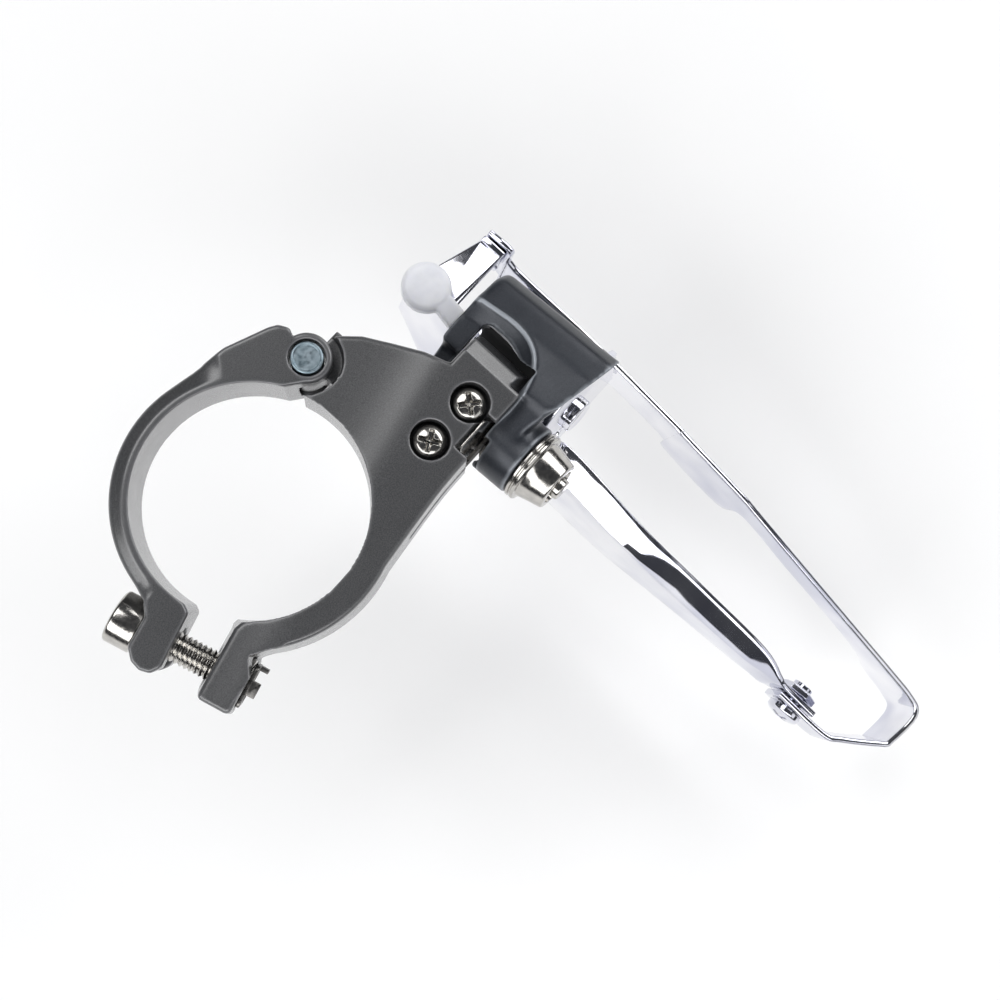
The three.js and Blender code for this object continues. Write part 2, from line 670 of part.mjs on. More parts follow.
function makeYoke() {
  const { front, rear, thickness, top, inboard, outboard } = YOKE;
  const wallC = [
    [inboard, top - thickness],
    [outboard, top - thickness],
    [outboard, -16.5],
    [PIVOT_C.x + 5.5, -11.0],
    ...arc(PIVOT_C.x, PIVOT_C.z, 3.6, 60, 180, 8),
    [inboard, top],
  ];
  const wallRear = [
    [inboard + 2.5, top - thickness],
    [outboard, top - thickness],
    ...arc(PIVOT_C.x, PIVOT_C.z, YOKE_WALL_RADIUS, 33, 140, 14),
    [inboard - 2.5, -14.0],
  ];
  const earD = [
    [inboard - 2.6, top - thickness],
    [inboard + 6.2, top - thickness],
    ...arc(PIVOT_D.x, PIVOT_D.z, 2.6, 0, 180, 8),
  ];
  const floor = box(inboard - 2.6, outboard, rear - thickness, front + thickness, top - thickness, top);
  const floorHole = box(inboard + 5, outboard - 3.5, rear + 2, front - 2, top - 5, top + 2);
  const walls = [
    slabY(wallC, front, front + thickness),
    slabY(wallRear, rear - thickness, rear),
    slabY(earD, INNER_LINK.end + 0.45, INNER_LINK.end + 1.45),
    slabY(earD, INNER_LINK.start - 1.45, INNER_LINK.start - 0.45),
  ];
  const frame = join(cut(floor, floorHole), ...walls);
  return cut(
    frame,
    rodY(PIVOT_C, SMALL_PIN_RADIUS + GAP, -30, 30),
    rodY(PIVOT_D, SMALL_PIN_RADIUS + GAP, -30, 30),
  );
}

// A bent strip of plate.  Each station is [x, y, top, bottom, lean]: the outer face's place, the
// heights of its edges and how far the bottom edge leans sideways from the top edge.
function strip(stations, thickness) {
  const across = (i) => {
    const [x0, y0] = stations[Math.max(0, i - 1)];
    const [x1, y1] = stations[Math.min(stations.length - 1, i + 1)];
    const along = new THREE.Vector2(x1 - x0, y1 - y0).normalize();
    return new THREE.Vector2(along.y, -along.x);
  };
  const sections = stations.map(([x, y, top, bottom, lean], i) => {
    const side = across(i);
    const at = (depth, height, slip) => {
      const reach = depth + slip;
      return new THREE.Vector3(x + side.x * reach, y + side.y * reach, height);
    };
    const middle = (top + bottom) / 2;
    return [
      at(0, top, 0),
      at(0, middle, lean * 0.5),
      at(0, bottom, lean),
      at(thickness, bottom, lean),
      at(thickness, middle, lean * 0.5),
      at(thickness, top, 0),
    ];
  });
  return new LoftGeometry(sections, { capStart: true, capEnd: true });
}

function makeOuterPlate() {
  const side = [
    [59.0, 3.4, -12.0, -22.0, 0],
    [59.0, -1.6, -12.0, -26.5, 0],
    [59.0, -3.4, -18.2, -27.5, 0],
    [59.0, -22.0, -19.0, -29.5, 0],
    [58.9, -42.0, -22.0, -32.0, 0],
    [58.8, -45.0, -22.5, -37.0, 0],
    [58.5, -60.0, -25.5, -40.0, 0],
    [58.3, -64.0, -26.5, -33.5, 0],
    [57.5, -77.0, -29.7, -36.5, 0],
    [56.6, -98.0, -35.8, -43.0, 0],
    [56.4, -106.0, -38.6, -50.0, 0],
    [56.1, -113.6, -41.5, -54.0, 0],
    [54.6, -116.6, -42.5, -55.0, 0],
    [48.0, -116.0, -42.5, -54.5, 0],
    [46.6, -115.0, -42.3, -54.0, 0],
    [41.9, -108.2, -41.5, -51.5, 0],
    [40.3, -104.6, -41.2, -50.0, 0],
    [40.3, -93.0, -40.0, -48.0, 0],
  ];
  const screwHole = rodX(TAIL_SCREW, TAIL_SCREW.radius + GAP, 30, 50);
  const rivetHole = rodX(BRIDGE_RIVET, BRIDGE_RIVET.radius + GAP, 50, 70);
  return cut(strip(side, -PLATE), screwHole, rivetHole);
}

// The inner plate, with the flange at its front that bridges across to the outer plate.
function makeInnerPlate() {
  const side = [
    [44.6, 7.4, -12.0, -27.0, 2.0],
    [43.8, 2.5, -12.0, -32.0, 2.6],
    [43.2, -2.5, -14.5, -38.0, 3.6],
    [42.6, -6.0, -28.8, -43.0, 3.8],
    [42.6, -26.0, -28.8, -49.0, 4.2],
    [43.4, -30.0, -24.6, -49.5, 4.6],
    [43.4, -37.0, -25.4, -50.0, 4.8],
    [42.6, -50.0, -28.4, -51.0, 4.2],
    [42.8, -67.0, -33.0, -50.5, 3.6],
    [42.8, -84.0, -36.6, -49.5, 3.0],
    [41.2, -90.5, -38.6, -48.0, 1.4],
    [40.7, -93.0, -39.6, -47.6, 0.2],
    [40.6, -101.0, -41.0, -47.2, 0],
  ];
  const wall = strip(side, -PLATE);
  const bridge = [
    [44.4, 7.8],
    [59.0 - GAP - PLATE / 2, 3.6],
    [59.0 - GAP - PLATE / 2, -1.0],
    [43.6, -1.0],
  ];
  const bridgeTop = slabZ(bridge, -12.0 - PLATE, -12.0);
  const foldedEnd = box(57.4, 59.0 - GAP, -1.0, 3.6, -20.5, -12.0);
  const rivetHole = rodX(BRIDGE_RIVET, BRIDGE_RIVET.radius + GAP, 50, 70);
  const screwHole = rodX(TAIL_SCREW, TAIL_SCREW.radius + GAP, 30, 50);
  return cut(join(wall, bridgeTop, foldedEnd), rivetHole, screwHole);
}

function makeRivet(x0, x1, at) {
  const { radius, headRadius } = at;
  const profile = [
    [0, x0 - 0.9],
    [headRadius - 0.5, x0 - 0.9],
    [headRadius, x0 - GAP],
    [radius, x0 - GAP],
    [radius, x1 + GAP],
    [headRadius, x1 + GAP],
    [headRadius - 0.5, x1 + 0.9],
    [0, x1 + 0.9],
  ];
  return turnedY({ x: 0, z: 0 }, profile, 20).rotateZ(-Math.PI / 2).translate(0, at.y, at.z);
}

function makeTailScrew() {
  const shank = [
    [0, 37.0],
    [3.2, 37.0],
    [3.4, 37.4],
    [3.4, 38.8],
    [2.0, 38.8],
    [2.0, 45.6],
    [0, 45.6],
  ];
  const screw = turnedY({ x: 0, z: 0 }, shank).rotateZ(-Math.PI / 2);
  const slots = [0, 1].map((i) => box(36, 38.1, -0.45, 0.45, -2.1, 2.1).rotateX((i * Math.PI) / 2));
  return cut(screw, ...slots).translate(0, TAIL_SCREW.y, TAIL_SCREW.z);
}

function makeTailNut() {
  const nut = new THREE.CylinderGeometry(3.6, 3.6, 2.2, 6).rotateZ(Math.PI / 2).translate(43.2, 0, 0);
  return cut(nut, rodX({ y: 0, z: 0 }, 2.0 + GAP, 40, 50)).translate(0, TAIL_SCREW.y, TAIL_SCREW.z);
}

// The nylon block that holds the cage out while the derailleur is fitted.
function makeAlignmentBlock() {
  const low = -12.0 + GAP;
  const high = low + 2.4;
  const disc = rodZ({ x: 45.2, y: 4.2 }, 3.9, low, high, 36);
  const neck = slabZ([[43.2, 2.0], [46.9, 3.0], [46.0, -3.0], [42.3, -2.8]], low, high);
  const pull = rodZ({ x: 45.2, y: 4.2 }, 3.0, high - 0.5, high + 0.4, 32);
  return join(disc, neck, pull);
}

// ---- assembly -----------------------------------------------------------------------------
const derailleur = new THREE.Group();
derailleur.add(
  mesh('bracket', cut(makeBracket(), gripPocket(0)), castPaint),
  mesh('clamp_band', makeClampBand(), castPaint),
  mesh('hinge_pin', makeHingePin(), zincSteel),
  mesh('clamp_bolt', makeClampBolt(), brightSteel),
  mesh('clamp_nut', makeClampNut(), brightSteel),
  mesh('nut_clip', makeNutClip(), darkSteel),
  mesh('limit_screw_high', makeLimitScrew(LIMIT_SCREWS.high), brightSteel),
  mesh('limit_screw_low', makeLimitScrew(LIMIT_SCREWS.low), brightSteel),
  mesh('screw_grip', makeScrewGrip(), nylon),
  mesh('cage_outer_plate', makeOuterPlate(), chrome),
  mesh('cage_inner_plate', makeInnerPlate(), chrome),
  mesh('front_bridge_rivet', makeRivet(57.4, 60.2, BRIDGE_RIVET), chrome),
  mesh('tail_screw', makeTailScrew(), chrome),
  mesh('tail_nut', makeTailNut(), chrome),
  mesh('alignment_block', makeAlignmentBlock(), nylon),
);

const linkage = linkageGroup();
const pinB = pinProfile(SMALL_PIN_RADIUS, CHEEK.rear + 0.2, CHEEK.front - 0.2);
linkage.add(
  mesh('outer_link', makeOuterLink(), linkPaint),
  mesh('front_link_bush', makeBush(FRONT_ARM.start - 0.1, FRONT_ARM.end), bearingPlastic),
  mesh('rear_link_bush', makeBush(KNUCKLE.start, KNUCKLE.end - 1.9), bearingPlastic),
  mesh('inner_link', makeInnerLink(), darkSteel),
  mesh('pivot_pin_a_front', makePinAFront(), brightSteel),
  mesh('pivot_pin_a_rear', makePinARear(), brightSteel),
  mesh('pivot_pin_b', turnedY(PIVOT_B, pinB), brightSteel),
  mesh('pivot_pin_c', turnedY(PIVOT_C, pinProfile(SMALL_PIN_RADIUS, YOKE.rear - 2.4, 13.4, 3.2)), chrome),
  mesh('pivot_pin_d', turnedY(PIVOT_D, pinProfile(SMALL_PIN_RADIUS, -1.6, 6.2)), brightSteel),
  mesh('spring_cap', makeSpringCap(), brightSteel),
  mesh('return_spring', makeReturnSpring(), darkSteel),
  mesh('thrust_plate', makeThrustPlate(), brightSteel),
  mesh('cable_bolt', makeCableBolt(), zincSteel),
  mesh('cable_plate', makeCablePlate(), zincSteel),
  mesh('cage_yoke', makeYoke(), chrome),
);
derailleur.add(linkage);

export default derailleur;
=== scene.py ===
"""Looks of the front derailleur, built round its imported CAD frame.

Shapes are drawn in millimetres in the part's own frame (+Z up the seat tube, +X outboard, +Y forward)
and scaled to metres when they become pieces.
"""

import json
import math

import bmesh
import bpy
import numpy as np
from mathutils import Matrix, Vector


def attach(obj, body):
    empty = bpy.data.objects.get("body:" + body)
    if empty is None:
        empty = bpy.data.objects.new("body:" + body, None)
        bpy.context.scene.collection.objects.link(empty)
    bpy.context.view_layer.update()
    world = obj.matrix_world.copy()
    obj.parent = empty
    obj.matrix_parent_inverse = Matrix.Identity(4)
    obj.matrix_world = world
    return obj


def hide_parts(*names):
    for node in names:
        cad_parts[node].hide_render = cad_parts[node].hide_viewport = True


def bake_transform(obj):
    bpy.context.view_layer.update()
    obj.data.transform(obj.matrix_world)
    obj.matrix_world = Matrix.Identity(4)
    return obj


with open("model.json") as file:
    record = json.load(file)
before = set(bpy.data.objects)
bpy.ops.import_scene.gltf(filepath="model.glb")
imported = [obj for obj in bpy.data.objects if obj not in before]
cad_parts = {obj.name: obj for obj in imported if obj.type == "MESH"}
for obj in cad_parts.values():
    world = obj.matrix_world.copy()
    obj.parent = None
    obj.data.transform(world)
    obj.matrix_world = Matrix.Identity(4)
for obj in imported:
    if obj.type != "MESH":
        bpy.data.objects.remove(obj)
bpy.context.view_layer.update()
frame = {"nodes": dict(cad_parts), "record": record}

# ---- dimensions, in millimetres
GAP = 0.3
BORE = 17.45
HALF_HEIGHT = 6.7
BAND_OUTER = BORE + 2.9
RING_OUTER = BORE + 4.2
DRAFT = 1.1
HINGE = (21.06, 8.4)
HINGE_PIN_RADIUS = 2.5
HINGE_LUG_RADIUS = 3.8
SOCKET_RADIUS = 2.35
BOLT_HEAD = (-24.4, -0.5)
BOLT_TURN = math.radians(13.3)
HIGH_SCREW = (32.45, -13.83)
LOW_SCREW = (24.25, -13.13)
TILT = math.radians(-12)
PIVOT_A = (0.0, 0.0)
PIVOT_B = (-5.05, -1.5)
PIVOT_C = (14.3, -14.5)
PIVOT_D = (PIVOT_C[0] + PIVOT_B[0], PIVOT_C[1] + PIVOT_B[1])
CABLE_ARM = (-6.5, -12.5)
CABLE_ARM_BACK, CABLE_ARM_FRONT = 3.0, 7.45
BUSH_RADIUS = 2.75
PIN_HOLE, SMALL_PIN_HOLE, CABLE_BOLT_HOLE = 2.1, 1.8, 2.8
THROUGH = (-30, 30)  # a tool this long along Y passes right through the linkage
STUB_FRONT, STUB_REAR = -7.6, -19.2
CHEEK_FRONT, CHEEK_FRONT_INNER, CHEEK_REAR_INNER, CHEEK_REAR = 6.6, 4.6, 0.0, -2.9
FRONT_ARM = (7.0, 11.1)
REAR_ARM = (-10.8, -3.95)
KNUCKLE_RADIUS = 6.15
PLATE = 1.2
TAIL_SCREW = (-97.0, -44.3)
RIVET = (1.3, -17.0)

LINKAGE = Matrix.Translation((33.4, -16.0, -5.445)) @ Matrix.Rotation(TILT, 4, "X")
ALONG_BOLT = Matrix.Translation((*BOLT_HEAD, 0)) @ Matrix.Rotation(BOLT_TURN, 4, "Z")
Z_TO_Y = Matrix.Rotation(-math.pi / 2, 4, "X")
Z_TO_X = Matrix.Rotation(math.pi / 2, 4, "Y")


# ---- outlines
def arc(x, y, radius, start, end, steps):
    angles = np.radians(np.linspace(start, end, steps + 1))
    return [(x + radius * math.cos(a), y + radius * math.sin(a)) for a in angles]


def rounded(points, radius, steps=5):
    """A closed outline with its corners rounded; a point may bring its own radius as a third value."""
    result = []
    count = len(points)
    for i, point in enumerate(points):
        here = Vector(point[:2])
        reach = point[2] if len(point) > 2 else radius
        back = Vector(points[i - 1][:2]) - here
        ahead = Vector(points[(i + 1) % count][:2]) - here
        opening = back.angle(ahead, math.pi)
        if reach <= 0 or opening > math.radians(176):
            result.append(tuple(here))
            continue
        length = min(reach / math.tan(opening / 2), 0.48 * back.length, 0.48 * ahead.length)
        first = here + back.normalized() * length
        last = here + ahead.normalized() * length
        for step in range(steps + 1):
            t = step / steps
            result.append(tuple(first * (1 - t) ** 2 + here * 2 * t * (1 - t) + last * t * t))
    return result


def plain_arc(*numbers):
    """An arc for a rounded outline, which leaves its points alone."""
    return [(x, y, 0) for x, y in arc(*numbers)]


def smooth_path(points, steps=6):
    """A smooth curve through rows of numbers (Catmull-Rom), from the first row to the last."""
    rows = np.array(points, float)
    padded = np.vstack([2 * rows[0] - rows[1], rows, 2 * rows[-1] - rows[-2]])
    result = []
    for i in range(len(rows) - 1):
        p0, p1, p2, p3 = padded[i : i + 4]
        for t in np.arange(steps) / steps:
            result.append(0.5 * (2 * p1 + (p2 - p0) * t + (2 * p0 - 5 * p1 + 4 * p2 - p3) * t**2
                                 + (3 * p1 - p0 - 3 * p2 + p3) * t**3))
    result.append(rows[-1])
    return [tuple(row) for row in result]


def is_counter_clockwise(points):
    ring = np.array(points)
    after = np.roll(ring, -1, axis=0)
    return float(np.sum(ring[:, 0] * after[:, 1] - after[:, 0] * ring[:, 1])) > 0


def grown(points, amount):
    ring = np.array(points)
    before = ring - np.roll(ring, 1, axis=0)
    after = np.roll(ring, -1, axis=0) - ring
    before /= np.linalg.norm(before, axis=1)[:, None] + 1e-12
    after /= np.linalg.norm(after, axis=1)[:, None] + 1e-12
    along = before + after
    along /= np.linalg.norm(along, axis=1)[:, None] + 1e-12
    reach = amount / np.maximum(0.5, np.sum(along * before, axis=1))
    return ring + np.stack([along[:, 1], -along[:, 0]], axis=1) * reach[:, None]


def bar(a, b, a_radius, b_radius):
    """A bar seen from its side: two round ends and the straight sides between them."""
    heading = math.degrees(math.atan2(b[1] - a[1], b[0] - a[0]))
    return [
        *arc(*b, b_radius, heading - 90, heading + 90, 18),
        *arc(*a, a_radius, heading + 90, heading + 270, 18),
    ]


def by_bolt(places, radius):
    """A rounded outline whose corners are given as (along the clamp screw, outward from it)."""
    x, y = BOLT_HEAD
    s, c = math.sin(BOLT_TURN), math.cos(BOLT_TURN)
    return rounded([(x + along * s - out * c, y - along * c - out * s) for along, out in places], radius)


# ---- solids, in millimetres
def new_object(name, data):
    obj = bpy.data.objects.new(name, data)
    bpy.context.scene.collection.objects.link(obj)
    return obj


def new_solid(verts, faces, matrix):
    mesh = bpy.data.meshes.new("solid")
    mesh.from_pydata(verts, [], faces)
    bm = bmesh.new()
    bm.from_mesh(mesh)
    bmesh.ops.remove_doubles(bm, verts=bm.verts, dist=1e-5)
    bmesh.ops.recalc_face_normals(bm, faces=bm.faces)
    bm.to_mesh(mesh)
    bm.free()
    if matrix is not None:
        mesh.transform(matrix)
    return new_object("solid", mesh)


def from_rings(rings, matrix=None):
    """A skin over rings of points that all have the same count, closed at both ends."""
    count = len(rings[0])
    verts = [tuple(v) for ring in rings for v in ring]
    faces = []
    last = (len(rings) - 1) * count
    for a in range(0, last, count):
        b = a + count
        for i in range(count):
            j = (i + 1) % count
            faces.append((a + i, a + j, b + j, b + i))
    faces.append(tuple(range(count - 1, -1, -1)))
    faces.append(tuple(range(last, last + count)))
    return new_solid(verts, faces, matrix)


def prism(outline, levels, matrix=None):
    """An outline in X and Y lofted over levels of (how much it is grown, height)."""
    ring = outline if is_counter_clockwise(outline) else outline[::-1]
    rings = [[(x, y, z) for x, y in grown(ring, amount)] for amount, z in levels]
    return from_rings(rings, matrix=matrix)


def rounded_levels(low, high, edge, draft=0.0, steps=3):
    """Levels with quarter-round edges at both ends and a draft that widens the lower end."""
    turns = [i / steps * math.pi / 2 for i in range(steps + 1)]
    bottom = [(draft - edge * (1 - math.sin(a)), low + edge * (1 - math.cos(a))) for a in turns]
    top = [(-edge * (1 - math.cos(a)), high - edge * (1 - math.sin(a))) for a in turns]
    return bottom + top


def slab_y(outline, back, front, edge=0.25, matrix=Matrix()):
    """An outline in X and Z, between two places along Y."""
    turn = Matrix(((1, 0, 0, 0), (0, 0, -1, 0), (0, 1, 0, 0), (0, 0, 0, 1)))
    return prism(outline, rounded_levels(-front, -back, edge), matrix @ turn)


def block(x0, x1, y0, y1, z0, z1, edge=0.2, matrix=None):
    outline = rounded([(x0, y0), (x1, y0), (x1, y1), (x0, y1)], edge, 2)
    return prism(outline, rounded_levels(z0, z1, edge, steps=2), matrix)


def lathe(profile, sides=64, matrix=None):
    """A profile of (radius, height) turned about Z; both ends have radius 0."""
    middle = profile[1:-1]
    verts = [(0, 0, profile[0][1]), (0, 0, profile[-1][1])]
    for radius, height in middle:
        for i in range(sides):
            a = 2 * math.pi * i / sides
            verts.append((radius * math.cos(a), radius * math.sin(a), height))
    faces = []
    for i in range(sides):
        j = (i + 1) % sides
        faces.append((0, 2 + j, 2 + i))
        top = 2 + (len(middle) - 1) * sides
        faces.append((1, top + i, top + j))
        for r in range(len(middle) - 1):
            a = 2 + r * sides
            faces.append((a + i, a + j, a + sides + j, a + sides + i))
    return new_solid(verts, faces, matrix)


def rod(radius, low, high, sides=48, matrix=None):
    return lathe([(0, low), (radius, low), (radius, high), (0, high)], sides, matrix)


def along_y(at, matrix=Matrix()):
    return matrix @ Matrix.Translation((at[0], 0, at[1])) @ Z_TO_Y


def rod_y(at, radius, back, front, sides=48, matrix=Matrix()):
    return rod(radius, back, front, sides, along_y(at, matrix))


def rod_z(at, radius, low, high, sides=48):
    return rod(radius, low, high, sides, Matrix.Translation((at[0], at[1], 0)))


def bake_modifiers(obj):
    depsgraph = bpy.context.evaluated_depsgraph_get()
    depsgraph.update()
    mesh = bpy.data.meshes.new_from_object(obj.evaluated_get(depsgraph))
    obj.modifiers.clear()
    obj.data = mesh
    return obj


def boolean(obj, operation, others):
    for other in others:
        modifier = obj.modifiers.new("boolean", "BOOLEAN")
        modifier.operation = operation
        modifier.solver = "MANIFOLD"
        modifier.object = other
    bake_modifiers(obj)
    for other in others:
        bpy.data.objects.remove(other)
    return obj


def join(obj, *others):
    return boolean(obj, "UNION", others)


def cut(obj, *tools):
    return boolean(obj, "DIFFERENCE", tools)


def cast(obj, voxel=0.22, rounds=4, sculpt=None, extra_wear_and_painted_light=None, soft=None):
    """Gives a solid an even dense skin with the soft edges of a casting.

    soft says where it is rounder, sculpt moves its points, and the extra values add to its worn edges; for
    the link they also mark a painted highlight and painted shade.
    """
    remesh = obj.modifiers.new("remesh", "REMESH")
    remesh.mode = "VOXEL"
    remesh.voxel_size = voxel
    bake_modifiers(obj)
    points = read_points(obj.data)
    if soft is not None:
        points = averaged(obj.data, points, 40, 0.6 * soft(points))
    if sculpt is not None:
        sculpt(points)
    obj.data.vertices.foreach_set("co", points.ravel())
    smooth = obj.modifiers.new("smooth", "SMOOTH")
    smooth.factor = 0.5
    smooth.iterations = rounds
    return mark_wear_and_painted_light(bake_modifiers(obj), extra_wear_and_painted_light)


def read_points(mesh):
    points = np.empty(len(mesh.vertices) * 3)
    mesh.vertices.foreach_get("co", points)
    return points.reshape(-1, 3)


def averaged(mesh, points, rounds, weight=0.5):
    """The points after so many rounds of moving towards the middle of their neighbours."""
    ends = np.empty(len(mesh.edges) * 2, int)
    mesh.edges.foreach_get("vertices", ends)
    first, second = ends.reshape(-1, 2).T
    count = len(points)
    neighbours = np.maximum(np.bincount(ends, minlength=count), 1)
    level = points.copy()
    for _ in range(rounds):
        for axis in range(3):
            column = level[:, axis]
            total = np.bincount(first, column[second], count) + np.bincount(second, column[first], count)
            level[:, axis] = column + weight * (total / neighbours - column)
    return level


def mark_wear_and_painted_light(obj, extra=None):
    """Writes how far each point stands proud of its smoothed surroundings, in millimetres, plus the extra
    values, which on the link mark a painted highlight and painted shade.
    """
    mesh = obj.data
    points = read_points(mesh)
    normals = np.empty(len(points) * 3)
    mesh.vertices.foreach_get("normal", normals)
    proud = np.sum((points - averaged(mesh, points, 16)) * normals.reshape(-1, 3), axis=1)
    if extra is not None:
        proud += extra(points)
    mesh.attributes.new("wear_and_painted_light", "FLOAT", "POINT").data.foreach_set("value", proud)
    return obj


def dress(obj, name, slot, *nodes, sharp=30):
    """Scales a solid to metres, names and paints it, and lets it stand in place of CAD nodes."""
    obj.name = name
    obj.data.name = name
    obj.data.transform(Matrix.Scale(0.001, 4))
    obj.data.shade_smooth()
    if sharp:
        obj.data.set_sharp_from_angle(angle=math.radians(sharp))
    obj.data.materials.clear()
    obj.data.materials.append(MATERIALS[slot])
    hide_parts(*nodes)
    return obj


def piece(obj, name, body, slot, *nodes, sharp=30):
    """A dressed solid that rides on a body."""
    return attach(dress(obj, name, slot, *nodes, sharp=sharp), body)


# ---- materials
class Finish:
    """A procedural material: a shader whose colour, roughness and bump come from noise in the solid."""

    def __init__(self, name, metallic, coat=0.0):
        self.material = bpy.data.materials.new(name)
        self.material.use_nodes = True
        self.nodes = self.material.node_tree.nodes
        self.links = self.material.node_tree.links
        self.shader = self.nodes["Principled BSDF"]
        self.shader.inputs["Metallic"].default_value = metallic
        self.shader.inputs["Coat Weight"].default_value = coat
        self.shader.inputs["Coat Roughness"].default_value = 0.25
        self.place = self.nodes.new("ShaderNodeTexCoord").outputs["Object"]

    def stretched(self, x, y, z):
        mapping = self.nodes.new("ShaderNodeMapping")
        mapping.inputs["Scale"].default_value = (x, y, z)
        self.links.new(self.place, mapping.inputs["Vector"])
        return mapping.outputs["Vector"]

    def noise(self, size_mm, detail=2.0, place=None):
        """Noise whose features are about size_mm across."""
        node = self.nodes.new("ShaderNodeTexNoise")
        node.inputs["Scale"].default_value = 1000.0 / size_mm
        node.inputs["Detail"].default_value = detail
        self.links.new(place or self.place, node.inputs["Vector"])
        return node.outputs["Fac"]

    def spread(self, value, low, high, to_low=0.0, to_high=1.0):
        node = self.nodes.new("ShaderNodeMapRange")
        for key, number in zip(("From Min", "From Max", "To Min", "To Max"), (low, high, to_low, to_high)):
            node.inputs[key].default_value = number
        self.links.new(value, node.inputs["Value"])
        return node.outputs["Result"]

    def mix(self, amount, first, second):
        node = self.nodes.new("ShaderNodeMix")
        node.data_type = "RGBA"
        self.links.new(amount, node.inputs["Factor"])
        for socket, colour in ((node.inputs["A"], first), (node.inputs["B"], second)):
            if isinstance(colour, tuple):
                socket.default_value = (*colour, 1)
            else:
                self.links.new(colour, socket)
        return node.outputs["Result"]

    def edges(self, low, high):
        """With positive bounds, 1 on the convex edges of a casting and 0 elsewhere; with negative bounds, 0
        where painted shade is marked.
        """
        wear_and_painted_light = self.nodes.new("ShaderNodeAttribute")
        wear_and_painted_light.attribute_name = "wear_and_painted_light"
        return self.spread(wear_and_painted_light.outputs["Fac"], low, high)

    def colour(self, value):
        self.links.new(value, self.shader.inputs["Base Color"])

    def roughness(self, value):
        self.links.new(value, self.shader.inputs["Roughness"])

    def bump(self, *layers, soften_mm=0.0):
        """Layers of (height value, height in mm); soften_mm rounds the edges the shader sees."""
        normal = None
        if soften_mm:
            bevel = self.nodes.new("ShaderNodeBevel")
            bevel.samples = 6
            bevel.inputs["Radius"].default_value = soften_mm / 1000
            normal = bevel.outputs["Normal"]
        for value, height in layers:
            node = self.nodes.new("ShaderNodeBump")
            node.inputs["Distance"].default_value = height / 1000
            self.links.new(value, node.inputs["Height"])
            if normal is not None:
                self.links.new(normal, node.inputs["Normal"])
            normal = node.outputs["Normal"]
        self.links.new(normal, self.shader.inputs["Normal"])


def make_cast_paint():
    finish = Finish("cast_paint", 0.35, coat=1.0)
    finish.shader.inputs["Coat IOR"].default_value = 1.7
    grain = finish.noise(0.16, 3)
    blotch = finish.noise(5.0, 3)
    base = finish.mix(finish.spread(grain, 0.3, 0.72), (0.028, 0.029, 0.031), (0.078, 0.079, 0.083))
    worn = finish.mix(finish.edges(0.02, 0.16), base, (0.15, 0.15, 0.16))
    finish.colour(worn)
    finish.roughness(finish.spread(blotch, 0.3, 0.7, 0.40, 0.52))
    finish.bump((grain, 0.045), (finish.noise(0.5, 2), 0.03))
    return finish.material


PAINTED_SHADE_LEVEL = -2.0  # marks painted shade: the near-black colour on the link's interior, where it lies in shadow under the window


def make_link_paint():
    finish = Finish("link_paint", 0.45)
    grain = finish.noise(0.12, 2)
    base = finish.mix(finish.spread(grain, 0.3, 0.72), (0.017, 0.020, 0.027), (0.041, 0.046, 0.057))
    # pale colour on worn edges; along the link's rim ridge this is a painted highlight
    worn = finish.mix(finish.edges(0.02, 0.13), base, (0.26, 0.28, 0.31))
    # painted shade: near-black colour, with no coat or metal and full roughness, where the link's interior
    # lies in shadow under the window
    inside = finish.edges(PAINTED_SHADE_LEVEL, PAINTED_SHADE_LEVEL / 2)
    finish.colour(finish.mix(inside, (0.004, 0.004, 0.005), worn))
    finish.links.new(finish.spread(inside, 0, 1, 0, 0.25), finish.shader.inputs["Coat Weight"])
    finish.links.new(finish.spread(inside, 0, 1, 0, 0.45), finish.shader.inputs["Metallic"])
    polish = finish.nodes.new("ShaderNodeMath")
    polish.operation = "MAXIMUM"
    finish.links.new(finish.spread(finish.noise(4.0, 3), 0.3, 0.7, 0.32, 0.44), polish.inputs[0])
    finish.links.new(finish.spread(inside, 0, 1, 1.0, 0.0), polish.inputs[1])
    finish.roughness(polish.outputs["Value"])
    finish.bump((grain, 0.015), (finish.noise(1.6, 2), 0.02))
    return finish.material


def make_chrome():
    finish = Finish("chrome", 1.0)
    film = finish.noise(24.0, 3)
    finish.colour(finish.mix(finish.spread(film, 0.38, 0.62), (0.58, 0.59, 0.68), (0.88, 0.88, 0.91)))
    scratches = finish.noise(0.5, 2, finish.stretched(1.0, 0.06, 1.0))
    finish.roughness(finish.spread(finish.noise(3.0, 4), 0.3, 0.75, 0.035, 0.13))
    finish.bump((finish.noise(7.0, 1), 0.10), (scratches, 0.0015), soften_mm=0.25)
    return finish.material


def make_steel(name, dark, light, rough_low, rough_high):
    finish = Finish(name, 1.0)
    patches = finish.noise(1.2, 4)
    finish.colour(finish.mix(finish.spread(patches, 0.3, 0.7), dark, light))
    finish.roughness(finish.spread(finish.noise(0.6, 4), 0.3, 0.7, rough_low, rough_high))
    finish.bump((finish.noise(0.25, 2), 0.004), (finish.noise(1.5, 1), 0.01), soften_mm=0.15)
    return finish.material


def make_nylon():
    finish = Finish("nylon", 0.0)
    inputs = finish.shader.inputs
    inputs["Subsurface Weight"].default_value = 0.6
    inputs["Subsurface Radius"].default_value = (1.0, 1.0, 1.1)
    inputs["Subsurface Scale"].default_value = 0.0012
    cloud = finish.noise(2.5, 3)
    finish.colour(finish.mix(finish.spread(cloud, 0.3, 0.7), (0.80, 0.81, 0.85), (0.88, 0.89, 0.93)))
    finish.roughness(finish.spread(cloud, 0.3, 0.7, 0.35, 0.5))
    finish.bump((finish.noise(0.3, 3), 0.02), (finish.noise(1.8, 1), 0.03), soften_mm=0.3)
    return finish.material


